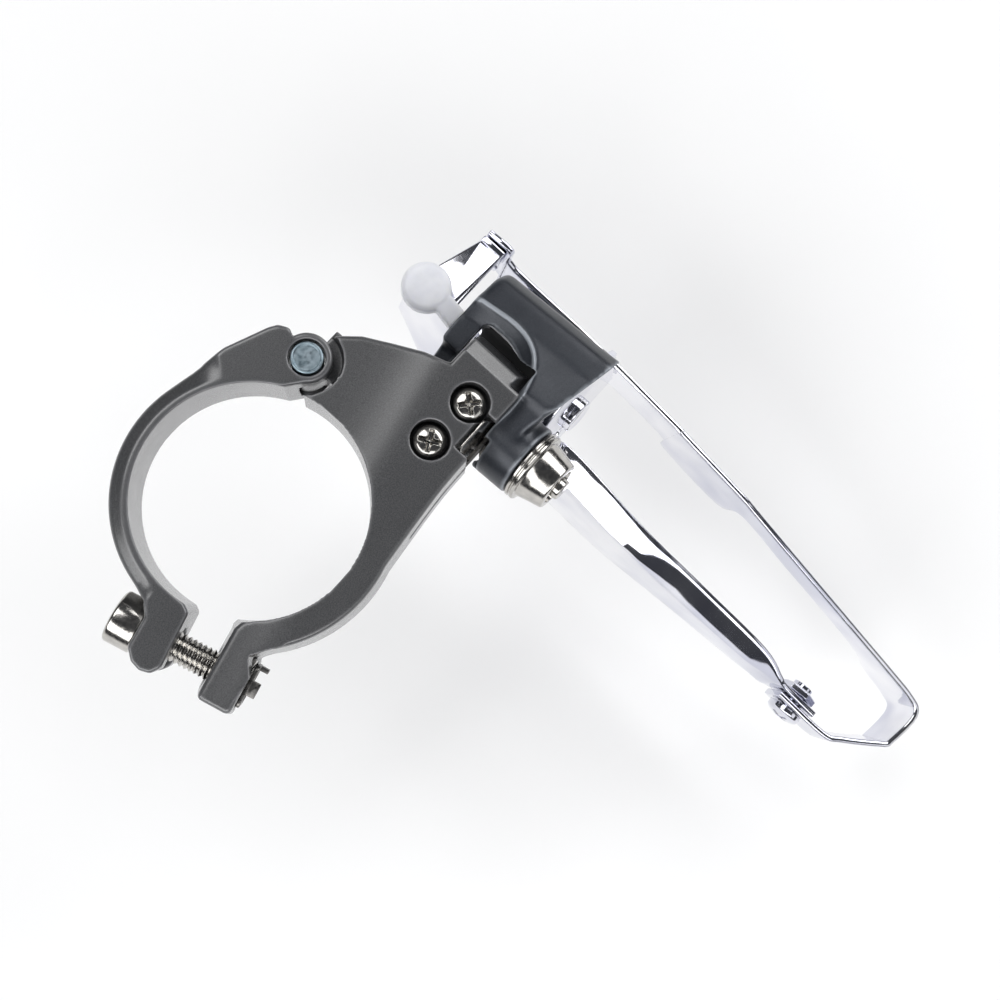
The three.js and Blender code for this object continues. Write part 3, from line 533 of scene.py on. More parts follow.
def make_bearing_plastic():
    finish = Finish("bearing_plastic", 0.0)
    grain = finish.noise(0.4, 3)
    finish.colour(finish.mix(grain, (0.018, 0.019, 0.022), (0.035, 0.036, 0.04)))
    finish.roughness(finish.spread(grain, 0.3, 0.7, 0.4, 0.6))
    finish.bump((grain, 0.01), soften_mm=0.1)
    return finish.material


MATERIALS = {
    "cast_paint": make_cast_paint(),
    "link_paint": make_link_paint(),
    "chrome": make_chrome(),
    "bright_steel": make_steel("bright_steel", (0.42, 0.41, 0.39), (0.56, 0.54, 0.51), 0.10, 0.22),
    "zinc_steel": make_steel("zinc_steel", (0.20, 0.27, 0.31), (0.40, 0.48, 0.53), 0.28, 0.48),
    "dark_steel": make_steel("dark_steel", (0.13, 0.127, 0.122), (0.27, 0.26, 0.25), 0.22, 0.40),
    "nylon": make_nylon(),
    "bearing_plastic": make_bearing_plastic(),
}


def finish_cad_nodes():
    """CAD nodes that stay in view get the material of their slot."""
    for entry in frame["record"]["subparts"]:
        node = frame["nodes"][entry["node"]]
        node.data.materials.clear()
        node.data.materials.append(MATERIALS[entry["material_slot"]])


finish_cad_nodes()


# ---- bracket
def bracket_outline():
    start, end, outer, inner = 11.9, 17.3, 4.6, 6.4
    lug = by_bolt([
        (start - 1.0, -inner - 2.2), (start, -inner), (start, outer),
        (end, outer), (end, -1.4), (end - 1.6, -4.0),
    ], 0.9)
    ring_end = arc(0, 0, RING_OUTER, -74, -74, 0)[0]
    flank = smooth_path([ring_end, (12.0, -20.15), (20.0, -19.4), (28.5, STUB_REAR)])
    nose = rounded([
        (33.5, STUB_REAR), (35.6, -18.4), (35.6, -8.6), (34.9, -7.2), (33.7, -3.6),
        (31.6, 0.5), (29.2, 4.8), (26.4, 7.9), (23.5, 8.6),
    ], 1.2)
    return [
        *arc(0, 0, BORE - 0.4, 17.5, -141, 60),
        *lug[6:],  # its first corner lies inside the ring
        *arc(0, 0, RING_OUTER, -131, -75, 24),
        *flank,
        *nose,
    ]


DEEPEST_SLOPE = 1.15


def shape_bracket_top(points):
    """The face beyond the crease falls away and levels out towards the hinge."""
    crease = Vector((36.8, -5.8)) - Vector((13.8, -10.6))
    across = Vector((-crease.y, crease.x)).normalized()
    beyond = (points[:, 0] - 13.8) * across.x + (points[:, 1] + 10.6) * across.y
    soft = 0.9
    ramp = soft * np.log1p(np.exp(np.clip(beyond / soft, -30, 30)))
    upper = np.clip((points[:, 2] - 1.0) / (HALF_HEIGHT - 1.0), 0, 1)
    points[:, 2] -= upper * DEEPEST_SLOPE * np.tanh(0.17 * ramp / DEEPEST_SLOPE)


def make_bracket():
    body = prism(bracket_outline(), rounded_levels(-HALF_HEIGHT, HALF_HEIGHT, 0.7, DRAFT))
    top = HALF_HEIGHT
    stub = slab_y(rounded([
        (20, top - 1), (20, -6.7), (24.4, -11.2), (31.5, -11.2), (37.5, -10.2), (40.3, -7.5),
        (43.0, top - 7.5, 1.0), (41.6, top - 4.0, 0.8), (40.5, top - 1.3, 0.4), (37.9, top, 0.3), (22, top),
    ], 0.8), STUB_REAR, STUB_FRONT, 0.5)
    hinge_lug = join(
        rod_z(HINGE, HINGE_LUG_RADIUS - 0.2, -3, 3),
        block(HINGE[0], HINGE[0] + 6.6, 3.4, 8.4, -3, 3),
    )
    tools = [
        rod_z((0, 0), BORE, -12, 12, 128),
        rod_z(HINGE, 5.4, -12, 12, 64),
    ]
    body = join(cut(join(body, stub), *tools), hinge_lug)
    tools = [
        rod_z(HINGE, HINGE_PIN_RADIUS + GAP, -10, 10),
        rod_y((0, 0), 3.5, -14.9, -6, matrix=ALONG_BOLT),
        rod_y((0, 0), 4.2, -27, -13.6, matrix=ALONG_BOLT),
        block(-12, 3.6, -27, -17.3, -10, 10, 0.05, ALONG_BOLT),
        block(-12.5, 14, CHEEK_REAR_INNER, CHEEK_FRONT_INNER, -20, 3.6, 0.05, LINKAGE),
        block(-4.9, 14, CHEEK_FRONT, 16, -20, 5.3, 0.05, LINKAGE),
        block(1.3, 14, CHEEK_FRONT, 16, 3, 20, 0.05, LINKAGE),
        cut(
            block(-7.5, 30, -24, CHEEK_REAR, -20, 20, 0.05, LINKAGE),
            block(-0.4, 5.1, -5.0, 0, 9.3, 30, 0.3, LINKAGE),
        ),
        block(-21.5, -7, -9, CHEEK_REAR - 0.15, 3.2, 5.0, 0.05, LINKAGE),
        rod_y(PIVOT_A, PIN_HOLE, -8, CHEEK_FRONT + 1, matrix=LINKAGE),
        rod_y(PIVOT_B, SMALL_PIN_HOLE, -4.8, CHEEK_FRONT + 2, matrix=LINKAGE),
    ]
    for place in (HIGH_SCREW, LOW_SCREW):
        tools.append(rod_z(place, 3.05, 3.2, HALF_HEIGHT + 3))
        tools.append(rod_z(place, 1.8, -9, 4.2))
    body = cut(body, *tools)
    cast(body, 0.19, 5, shape_bracket_top)
    piece(body, "bracket_casting", "bracket_body", "cast_paint", "bracket", sharp=0)


# ---- clamp band
def band_outline():
    lug = by_bolt([
        (3.0, -7.2), (5.2, -5.6), (5.6, 3.2), (4.6, 4.5), (3.0, 4.8),
        (1.4, 4.2), (0, 2.6), (0, -2.2), (-1.4, -4.2),
    ], 0.8)
    nose = rounded([
        (8.4, 19.2), (14.0, 18.2), (20.6, 15.6), (21.9, 14.8), (22.7, 13.2), (21.9, 11.8),
    ], 0.8)
    return [
        *arc(0, 0, BORE - 0.4, 30, 183, 70),
        *lug[3:-3],
        *arc(0, 0, BAND_OUTER, 166, 78, 50),
        *nose[3:-2],
        *arc(*HINGE, HINGE_LUG_RADIUS, 78, -140, 30),
    ]


def shape_band(points):
    """The band's top and bottom faces slope off from a ridge beside the bore."""
    reach = np.hypot(points[:, 0], points[:, 1])
    angle = np.degrees(np.arctan2(points[:, 1], points[:, 0]))
    on_band = np.clip((angle - 55) / 12, 0, 1) * np.clip((176 - angle) / 8, 0, 1)
    drop = np.clip(reach - BORE - 0.9, 0, 5) * 0.55 * on_band
    level = np.clip(np.abs(points[:, 2]) / HALF_HEIGHT, 0, 1)
    points[:, 2] -= np.sign(points[:, 2]) * drop * level**2


def make_band():
    body = prism(band_outline(), rounded_levels(-HALF_HEIGHT, HALF_HEIGHT, 0.5, 0.2))
    slot = rounded([(-5.6, -3.0), (3.0, -3.0), (3.0, 3.0), (-5.6, 3.0)], 2.9, 12)
    tools = [
        rod_z((0, 0), BORE, -12, 12, 128),
        rod_z(HINGE, HINGE_LUG_RADIUS + 0.3, -3.3, 3.3),
        block(HINGE[0] - 1.5, HINGE[0] + 8, HINGE[1] - 8, HINGE[1] + 1.5, -3.3, 3.3, 0.05),
        rod_z(HINGE, HINGE_PIN_RADIUS + GAP, -10, 10),
        rod_y((0, 0), 4.4, 0, 12, matrix=ALONG_BOLT),
        slab_y(slot, -12, 3, 0.1, ALONG_BOLT),
    ]
    body = cut(body, *tools)
    cast(body, 0.19, 5, shape_band)
    piece(body, "clamp_band_casting", "band_body", "cast_paint", "clamp_band", sharp=0)


# ---- fasteners
def rounded_edge(radius, height, edge, outward_end=True, steps=4):
    """Profile points of a rounded corner at the outer edge of a turned face."""
    points = []
    for i in range(steps + 1):
        a = i / steps * math.pi / 2
        side, rise = edge * (1 - math.sin(a)), edge * (1 - math.cos(a))
        points.append((radius - side, height + rise) if not outward_end else (radius - rise, height - side))
    return points


def hexagon(radius, depth_low, depth_high):
    return prism(arc(0, 0, radius, 0, 300, 5), [(0, depth_low), (0, depth_high)])


def threaded_rod(radius, pitch, low, high, sides=40):
    """A rod with a helical thread that fades at both ends."""
    count = int((high - low) / pitch * 8)
    rings = []
    for k in range(count + 1):
        z = low + (high - low) * k / count
        fade = min(1.0, (z - low) / pitch, (high - z) / pitch)
        ring = []
        for i in range(sides):
            turn = i / sides
            phase = (z / pitch - turn) % 1.0
            depth = 0.55 * pitch * abs(2 * phase - 1) * fade
            r = radius - 0.02 - 0.9 * depth
            ring.append((r * math.cos(2 * math.pi * turn), r * math.sin(2 * math.pi * turn), z))
        rings.append(ring)
    return from_rings(rings)


def make_clamp_bolt():
    head_low, head_high, head = GAP, 4.6, 4.1
    underside = [(0, head_low), (2.3, head_low), *rounded_edge(head, head_low, 0.2, False)]
    rim = [(2.9, head_high), (2.6, head_high - 0.15), (0, head_high - 0.15)]
    profile = [*underside, *rounded_edge(head, head_high, 0.55), *rim]
    body = cut(lathe(profile, 96), hexagon(SOCKET_RADIUS, head_high - 2.6, head_high + 1))
    body = join(body, threaded_rod(2.4, 0.8, -16.2, head_low + 0.4))
    body.data.transform(ALONG_BOLT @ Z_TO_Y)
    piece(body, "clamp_socket_screw", "clamp_bolt_body", "bright_steel", "clamp_bolt")


def make_hinge_pin():
    end = HALF_HEIGHT - 0.15
    r = HINGE_PIN_RADIUS
    rim = [(r - 0.45, end - 0.02), (r - 0.6, end - 0.16), (0, end - 0.16)]
    low_end = [(0, -end), (r - 0.5, -end), *rounded_edge(r, -end, 0.3, False)]
    profile = [*low_end, *rounded_edge(r, end, 0.35), *rim]
    body = lathe(profile, matrix=Matrix.Translation((*HINGE, 0)))
    piece(body, "hinge_pin_plated", "bracket_body", "zinc_steel", "hinge_pin")


def make_limit_screw(name, node, place, body_name, turn):
    top, r = 5.9, 2.5
    dome = [(r * math.sin(a), top - 0.9 + 0.9 * math.cos(a)) for a in np.linspace(math.pi / 2, 0.15, 10)]
    head = lathe([(0, 3.7), (r - 0.2, 3.7), (r, 3.9), *dome, (0, top)])
    ring = rounded([(-1.75, -0.36), (1.75, -0.36), (1.75, 0.36), (-1.75, 0.36)], 0.12, 2)
    levels = [(-0.16, top - 1.5), (0.02, top - 0.5), (0.10, top + 0.6)]
    slots = [prism(ring, levels, Matrix.Rotation(math.radians(a), 4, "Z")) for a in (turn, turn + 90)]
    well = lathe([(0, top - 1.7), (0.62, top - 1.1), (0.85, top + 0.4), (0, top + 0.4)], 24)
    screw = join(cut(head, *slots, well), threaded_rod(1.5, 0.5, -2.6, 3.9, 32))
    screw.data.transform(Matrix.Translation((*place, 0)))
    piece(screw, name, body_name, "bright_steel", node)


def make_clamp_nut():
    profile = [(0, -17.0), (2.9, -17.0), *rounded_edge(3.9, -17.0, 0.4, False), (3.9, -13.9), (0, -13.9)]
    nut = cut(lathe(profile), rod(2.75, -20, -10))
    nut.data.transform(ALONG_BOLT @ Z_TO_Y)
    piece(nut, "clamp_nut_round", "bracket_body", "bright_steel", "clamp_nut")


def make_nut_clip():
    face = -17.3
    outline = rounded([(-3.4, -3.6), (3.4, -3.6), (3.4, 3.6), (-3.4, 3.6)], 0.9)
    plate = slab_y(outline, face - 0.6, face, 0.15)
    hole = rod_y((0, 0), 2.9, face - 3, face + 2)
    ears = [
        block(2.7, 3.4, face - 1.9, face - 0.1, -1.2, 1.2, 0.12),
        block(-1.2, 1.2, face - 1.9, face - 0.1, 2.8, 3.5, 0.12),
    ]
    clip = join(cut(plate, hole), *ears)
    clip.data.transform(ALONG_BOLT)
    piece(clip, "nut_clip_spring", "bracket_body", "dark_steel", "nut_clip")


# ---- outer link
def from_line(points, line):
    """Signed distance from a line drawn in plan, positive on its right-hand side."""
    corners = np.array(line)
    result = np.full(len(points), 1e9)
    for a, b in zip(corners[:-1], corners[1:]):
        step = b - a
        along = np.clip(((points[:, :2] - a) @ step) / (step @ step), 0, 1)
        away = points[:, :2] - (a + along[:, None] * step)
        distance = np.hypot(away[:, 0], away[:, 1])
        side = -np.sign(step[0] * away[:, 1] - step[1] * away[:, 0])
        closer = distance < np.abs(result)
        result[closer] = (side * distance)[closer]
    return result


# The window in the link's top is a rectangle open on its inboard side; its rear corner is wide.
WINDOW_FRONT, WINDOW_REAR, WINDOW_OUTBOARD = 5.4, -6.2, 11.4
FRONT_CORNER, REAR_CORNER = 1.4, 8.4


def link_rim():
    """The line in plan that runs beside the window, round its rear corner and over the knuckle."""
    x, y, wide, deep, squareness = 36.4, -9.5, 10.6, 9.4, 0.8
    turns = np.linspace(0, math.pi / 2, 20)
    corner = []
    for a in turns[:-1]:
        corner.append((x + wide * math.cos(a) ** squareness, y - deep * math.sin(a) ** squareness))
    return [(45.2, 0.0), (46.6, -4.5), *corner, (x, y - deep), (28.0, -18.1)]


LINK_RIM = link_rim()


def shape_link(points):
    """A polished ridge follows the rim, and a bevel falls from it to the window."""
    inside = from_line(points, LINK_RIM)
    top = np.clip((points[:, 2] + 0.5) / 2.5, 0, 1)
    points[:, 2] -= top * np.clip(inside, 0, 3.2) * 0.55
    points[:, 2] += top * 0.22 * np.exp(-((inside / 0.35) ** 2))


def in_linkage(points):
    """Points of the part's frame, given in the linkage's own frame."""
    back = LINKAGE.inverted()
    return points @ np.array(back.to_3x3()).T + np.array(back.translation)


def soft_part_of_link(points):
    """The crown and the way down to the knuckle are rounded; the rim and the rear edge stay crisp."""
    local = in_linkage(points)
    behind_rim = -from_line(points, LINK_RIM)
    rear_edge = local[:, 1] + 7.6 + 0.2013 * (local[:, 0] + 3)
    crown = np.clip((behind_rim - 0.7) / 1.5, 0, 1) * np.clip((rear_edge - 0.5) / 1.5, 0, 1)
    above = np.clip((local[:, 2] - 1.0) / 2.0, 0, 1)
    shoulder = np.clip((8.5 - local[:, 0]) / 2.0, 0, 1) * np.clip((-5.4 - local[:, 1]) / 1.0, 0, 1)
    ends = np.clip((local[:, 1] + 10.3) / 0.5, 0, 1)
    return np.maximum(crown * above * np.clip((local[:, 0] - 4) / 3, 0, 1), shoulder * ends * above)


def link_painted_highlight_and_shade(points):
    """Paints a highlight along the rim ridge as a paler colour, and paints the shade under the window as
    black on the arch.
    """
    local = in_linkage(points)
    # painted shade: the arch under the window, where it lies in shadow, is marked for a black colour
    painted_shade = np.clip((14.6 - local[:, 0]) / 0.8, 0, 1) * np.clip((local[:, 0] - 7.5) / 0.8, 0, 1)
    painted_shade *= np.clip((5.2 - local[:, 2]) / 0.8, 0, 1) * np.clip((local[:, 1] + 4.5) / 0.5, 0, 1)
    # painted highlight: a paler colour along the rim ridge
    ridge = 0.12 * np.exp(-((from_line(points, LINK_RIM) / 0.28) ** 2)) * (points[:, 2] > 0)
    return ridge + PAINTED_SHADE_LEVEL * painted_shade


# Leans the cutter that parts the arch from the space behind the knuckle.
UNDERCUT = Matrix.Translation((0, 0, 8)) @ Matrix.Rotation(0.25, 4, "X") @ Matrix.Translation((0, 0, -8))


def make_outer_link():
    arch = rounded([
        (5.1, 8.5), (9.5, 9.0), (14.0, 9.1), (18.2, 8.3),
        (20.4, 5.8), (20.8, 2.5), (19.8, -3.0), (18.9, -7.0),
        *plain_arc(*PIVOT_C, 3.5, 20, -160, 14),
        (11.3, -10.5), (13.4, -4.5), (13.9, 0.0), (13.1, 4.0), (11.0, 5.6), (7.6, 5.2), (5.0, 3.6),
    ], 2.5)
    front_arm = rounded([
        (5.1, 8.5), (9.5, 9.0), (12.0, 6.0), (8.6, 3.0),
        *plain_arc(0, 0, 4.3, -20, -238, 22), (2.6, 4.6), (4.6, 5.6),
    ], 1.5)
    rear_arm = rounded([
        (9.5, 9.0), (14.0, 8.9), (14.0, 1.0), (10.0, -3.6),
        *plain_arc(0, 0, KNUCKLE_RADIUS, -40, -265, 26),
    ], 1.5)
    arms = join(
        slab_y(arch, REAR_ARM[0] - 2, FRONT_ARM[1], 0.9),
        slab_y(front_arm, *FRONT_ARM, 0.5),
        slab_y(rear_arm, *REAR_ARM, 0.6),
    )
    arms = cut(
        arms,
        prism([(-3, -7.63), (-3, -40), (26, -40), (26, -13.47)], [(0, -50), (0, 30)], UNDERCUT),
        rod_y(PIVOT_C, 13.6, -30, -7.1, 96),
    )
    link = join(arms, slab_y(arc(0, 0, KNUCKLE_RADIUS, 0, 354, 59), *REAR_ARM, 0.4))
    window = [
        (-10, WINDOW_FRONT),
        *arc(WINDOW_OUTBOARD - FRONT_CORNER, WINDOW_FRONT - FRONT_CORNER, FRONT_CORNER, 90, 0, 6),
        *arc(WINDOW_OUTBOARD - REAR_CORNER, WINDOW_REAR + REAR_CORNER, REAR_CORNER, 0, -90, 24),
        (-10, WINDOW_REAR),
    ]
    lean = Matrix.Translation((0, 3.68, 0)) @ Matrix.Rotation(-TILT, 4, "X")
    tools = [
        rod_y(PIVOT_A, 13.3, REAR_ARM[1], FRONT_ARM[0], 96),
        prism(window, [(0, 0), (0, 30)], lean),
        block(5, 22, REAR_ARM[1] + 0.4, 6.7, -20, -10.2, 0.1),
        slab_y([(0, 0), *arc(0, 0, 9, 112, 192, 16)], REAR_ARM[1] - 1.2, 1.0, 0.02),
        rod_y(PIVOT_A, 5.15, -9.5, 0, 64),
        rod_y(PIVOT_A, BUSH_RADIUS + GAP, *THROUGH),
        rod_y(PIVOT_C, SMALL_PIN_HOLE, *THROUGH),
    ]
    link = cut(link, *tools)
    link.data.transform(LINKAGE)
    corners = [(20, -60, 0), (54.6, -60, 0), (54.9, -2.9, 5.5), (44.0, -2.2, 2.0), (20, -5.6, 0)]
    plan = rounded(corners, 1.0, 10)
    link = boolean(link, "INTERSECT", [prism(plan, [(0, -60), (0, 30)])])
    cast(link, 0.2, 3, shape_link, link_painted_highlight_and_shade, soft_part_of_link)
    piece(link, "outer_link_forging", "outer_link_body", "link_paint", "outer_link", sharp=0)


def make_bush(name, node, back, front, body):
    bush = cut(rod_y(PIVOT_A, BUSH_RADIUS, back, front), rod_y(PIVOT_A, PIN_HOLE, back - 1, front + 1))
    bush.data.transform(LINKAGE)
    piece(bush, name, body, "bearing_plastic", node)


def make_return_spring():
    """Three turns inside the knuckle, then a leg along the bracket."""
    back, front, radius, wire, turns = -8.5, -4.35, 4.1, 0.45, 3
    coil = []
    for turned in np.linspace(0, 1, 48 * turns + 1):
        a = 2 * math.pi * turns * turned + math.pi / 2
        coil.append((-radius * math.cos(a), back + (front - back) * turned, radius * math.sin(a)))
    leg = [(-x, front, radius) for x in np.linspace(1.2, 20, 16)]
    path = np.array(coil + leg)
    heading = np.gradient(path, axis=0)
    heading /= np.linalg.norm(heading, axis=1)[:, None]
    rings = []
    for k, (here, ahead) in enumerate(zip(path, heading)):
        across = np.cross(ahead, (0, 1, 0))
        across /= np.linalg.norm(across)
        over = np.cross(across, ahead)
        size = wire * (0.7 if k in (0, len(path) - 1) else 1.0)
        rings.append([tuple(here + size * (across * math.cos(t) + over * math.sin(t)))
                      for t in np.linspace(0, 2 * math.pi, 12, endpoint=False)])
    spring = from_rings(rings, matrix=LINKAGE)
    dress(spring, "return_spring_coil", "dark_steel", "return_spring")
    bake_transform(spring)


def make_thrust_plate():
    outline = rounded([
        *plain_arc(0, 0, 3.6, -20, -160, 20), (-7.1, 0.2), (-7.1, 10.3), (-1.2, 10.3), (0.4, 5.4), (3.4, 1.6),
    ], 0.8)
    plate = cut(slab_y(outline, CHEEK_REAR - 0.7, CHEEK_REAR - GAP, 0.1), rod_y(PIVOT_A, PIN_HOLE, *THROUGH))
    plate.data.transform(LINKAGE)
    piece(plate, "thrust_plate_pressed", "bracket_body", "bright_steel", "thrust_plate")


def make_spring_cap():
    face = -11.1
    profile = [
        (0, face - 5.9), (3.3, face - 5.9), *rounded_edge(4.3, face - 5.9, 0.45, False), (4.75, face - 3.4),
        (5.15, face - 1.75), (5.3, face - 1.55), (5.95, face - 1.45), (6.1, face - 1.25), (6.1, face - 0.95),
        (5.75, face - 0.8), (5.75, face - 0.6), (6.1, face - 0.45), (6.1, face - 0.1), (5.9, face), (0, face),
    ]
    mouth = [(3.0, face - 5.2), (3.15, face - 5.95), (3.2, face - 8), (0, face - 8)]
    hollow = lathe([(0, face - 5.0), (2.6, face - 5.0), *mouth])
    cap = cut(lathe(profile, 96), hollow, rod(PIN_HOLE, THROUGH[0], 0))
    cap.data.transform(LINKAGE @ Z_TO_Y)
    piece(cap, "spring_cap_turned", "bracket_body", "bright_steel", "spring_cap")


def make_pin(name, node, at, profile, body, slot="bright_steel"):
    piece(lathe(profile, 48, along_y(at, LINKAGE)), name, body, slot, node)


def plain_pin(radius, back, front):
    rear_end = [(0, back), *rounded_edge(radius, back, 0.35, False)]
    return [*rear_end, *rounded_edge(radius, front, 0.35), (0, front)]


def headed_pin(radius, back, front, head):
    under = back + 1.2
    rivet = [(0, back + 0.12), (head - 1.2, back + 0.12), (head - 0.9, back)]
    rivet += [*rounded_edge(head, back, 0.4, False), (head, under), (radius, under)]
    return [*rivet, *rounded_edge(radius, front, 0.35), (0, front)]


def make_pins():
    small = 1.5
    front = [(0, 4.8), (1.8, 4.8), (1.8, 11.4), (2.9, 11.4), *rounded_edge(2.9, 12.6, 0.45), (0, 12.6)]
    riveted = headed_pin(small, -9.8, 13.4, 3.2)
    make_pin("pivot_a_rear", "pivot_pin_a_rear", PIVOT_A, plain_pin(1.8, -18.0, -0.2), "bracket_body")
    make_pin("pivot_a_front", "pivot_pin_a_front", PIVOT_A, front, "bracket_body")
    make_pin("pivot_b_pin", "pivot_pin_b", PIVOT_B, plain_pin(small, -2.7, 6.4), "bracket_body")
    make_pin("pivot_d_pin", "pivot_pin_d", PIVOT_D, plain_pin(small, -1.6, 6.2), "cage_body")
    make_pin("pivot_c_riveted", "pivot_pin_c", PIVOT_C, riveted, "cage_body", "chrome")


# ---- inner link and cable clamp
def make_inner_link():
    start, end = 0.35, 4.25
    rocker = rounded([
        (-10.25, -1.1), (-8.65, -0.3), (0.35, 0.4), (0.35, -1.1), (-2.55, -4.0), (-7.55, -4.0),
    ], 0.4)
    knee = (PIVOT_B[0] - 1.0, PIVOT_B[1] - 8.6)
    link = join(
        slab_y(bar(PIVOT_B, PIVOT_D, 2.3, 1.7), start, end, 0.4),
        slab_y(arc(*PIVOT_B, 3.3, 0, 350, 47), start, end, 0.4),
        slab_y(arc(*PIVOT_D, 3.0, 0, 350, 47), start, end, 0.4),
        slab_y(rocker, start, end, 0.3),
        slab_y(bar(PIVOT_B, knee, 2.4, 2.4), start, end, 0.4),
        slab_y(bar(knee, CABLE_ARM, 2.4, 4.0), CABLE_ARM_BACK, CABLE_ARM_FRONT, 0.4),
    )
    open_pivot_hole = SMALL_PIN_HOLE + 0.15
    link = cut(
        link,
        rod_y(PIVOT_B, SMALL_PIN_HOLE, *THROUGH),
        rod_y(PIVOT_D, open_pivot_hole, *THROUGH),
        rod_y(CABLE_ARM, CABLE_BOLT_HOLE, *THROUGH),
    )
    link.data.transform(LINKAGE)
    cast(link, 0.16, 2)
    piece(link, "inner_link_casting", "inner_link_body", "dark_steel", "inner_link", sharp=0)


def make_cable_clamp():
    face = CABLE_ARM_FRONT + 1.4
    low, high = face + GAP, face + 3.1
    profile = [(0, low), (2.3, low), *rounded_edge(4.2, low, 0.15, False), *rounded_edge(4.2, high, 0.45),
               (2.9, high), (2.7, high - 0.12), (0, high - 0.12)]
    bolt = cut(lathe(profile), hexagon(SOCKET_RADIUS, face + 1.3, high + 1))
    bolt = join(bolt, threaded_rod(2.45, 0.8, CABLE_ARM_BACK - 1.2, low + 0.4))
    bolt.data.transform(along_y(CABLE_ARM, LINKAGE))
    piece(bolt, "cable_clamp_screw", "cable_bolt_body", "zinc_steel", "cable_bolt")
    back = CABLE_ARM_FRONT + GAP
    x, z = CABLE_ARM
    outline = rounded([(x - 4.1, z - 4.1), (x + 4.1, z - 4.1), (x + 4.1, z + 4.1), (x - 4.1, z + 4.1)], 0.8)
    plate = join(
        slab_y(outline, back, back + 1.1, 0.2),
        block(x - 5.4, x - 4.0, back, back + 1.1, z - 1.6, z + 1.6, 0.2),
        block(x - 5.4, x - 4.4, back - 2.4, back + 1.1, z - 1.6, z + 1.6, 0.2),
    )
    groove = rod(0.5, x - 8, x + 8, 24, Matrix.Translation((0, back - 0.1, z + 3.3)) @ Z_TO_X)
    plate = cut(plate, rod_y(CABLE_ARM, CABLE_BOLT_HOLE, *THROUGH), groove)
    plate.data.transform(LINKAGE)
    piece(plate, "cable_washer_plate", "inner_link_body", "zinc_steel", "cable_plate")


# ---- cage
def sheet_section(top, bottom, edge, rows):
    """Points of (depth, height) round the section of a sheet with rolled edges."""
    turns = [i / 4 * math.pi / 2 for i in range(1, 4)]
    run = [top - edge + (bottom - top + 2 * edge) * (k / rows) ** 1.5 for k in range(rows + 1)]
    quarter = [(edge * (1 - math.cos(a)), edge * (1 - math.sin(a))) for a in turns]
    outer = [(0, h) for h in run]
    low = [(d, bottom + h) for d, h in quarter] + [(edge, bottom), (PLATE - edge, bottom)]
    low += [(PLATE - d, bottom + h) for d, h in reversed(quarter)]
    inner = [(PLATE, h) for h in reversed(run)]
    high = [(PLATE - d, top - h) for d, h in quarter] + [(PLATE - edge, top), (edge, top)]
    high += [(d, top - h) for d, h in reversed(quarter)]
    return outer + low + inner + high


def ribbon(stations, steps=5, rows=12, slip=None, edge=0.45):
    """Bent sheet steel on the left of its path; a station is (x, y, top, bottom, lean)."""
    path = np.array(smooth_path(stations, steps))
    heading = np.gradient(path[:, :2], axis=0)
    heading /= np.linalg.norm(heading, axis=1)[:, None]
    side = np.stack([heading[:, 1], -heading[:, 0]], axis=1)
    rings = []
    for (x, y, top, bottom, lean), (sx, sy) in zip(path, side):
        ring = []
        for depth, height in sheet_section(top, bottom, edge, rows):
            share = (top - height) / (top - bottom)
            shift = -depth + (slip(y, share, lean) if slip else lean * share)
            ring.append((x + sx * shift, y + sy * shift, height))
        rings.append(ring)
    return from_rings(rings)


OUTER_PATH = [
    (59.0, 3.4, -12.0, -22.0, 0), (59.0, -1.6, -12.0, -26.5, 0), (59.0, -3.4, -18.2, -27.5, 0),
    (59.0, -22.0, -19.0, -29.5, 0), (58.9, -42.0, -22.0, -32.0, 0), (58.8, -45.0, -22.5, -37.0, 0),
    (58.5, -60.0, -25.5, -40.0, 0), (58.3, -64.0, -26.5, -33.5, 0), (57.5, -77.0, -29.7, -36.5, 0),
    (56.6, -98.0, -35.8, -43.0, 0), (56.4, -106.0, -38.6, -50.0, 0), (56.1, -113.6, -41.5, -54.0, 0),
    (54.6, -116.6, -42.5, -55.0, 0), (48.0, -116.0, -42.5, -54.5, 0), (46.6, -115.0, -42.3, -54.0, 0),
    (41.9, -108.2, -41.5, -51.5, 0), (40.3, -104.6, -41.2, -50.0, 0), (40.3, -93.0, -40.0, -48.0, 0),
]
INNER_PATH = [
    (44.6, 7.4, -12.0, -27.0, 2.0), (43.8, 2.5, -12.0, -32.0, 2.6), (43.2, -2.5, -14.5, -38.0, 3.6),
    (42.6, -6.0, -28.8, -43.0, 3.8), (42.6, -26.0, -28.8, -49.0, 4.2), (43.4, -30.0, -24.6, -49.5, 4.6),
    (43.4, -37.0, -25.4, -50.0, 4.8), (42.6, -50.0, -28.4, -51.0, 4.2), (42.8, -67.0, -33.0, -50.5, 3.6),
    (42.8, -84.0, -36.6, -49.5, 3.0), (41.2, -90.5, -38.6, -48.0, 1.4), (40.7, -93.0, -39.6, -47.6, 0.2),
    (40.6, -101.0, -41.0, -47.2, 0),
]


def rod_x(at, radius, low, high, sides=40):
    return rod(radius, low, high, sides, Matrix.Translation((0, at[0], at[1])) @ Z_TO_X)


def drilled(plate):
    return cut(plate, rod_x(RIVET, 1.8, 50, 70), rod_x(TAIL_SCREW, 2.3, 30, 50))


def make_outer_plate():
    plate = drilled(ribbon(OUTER_PATH))
    piece(plate, "cage_outer_sheet", "cage_body", "chrome", "cage_outer_plate", sharp=35)


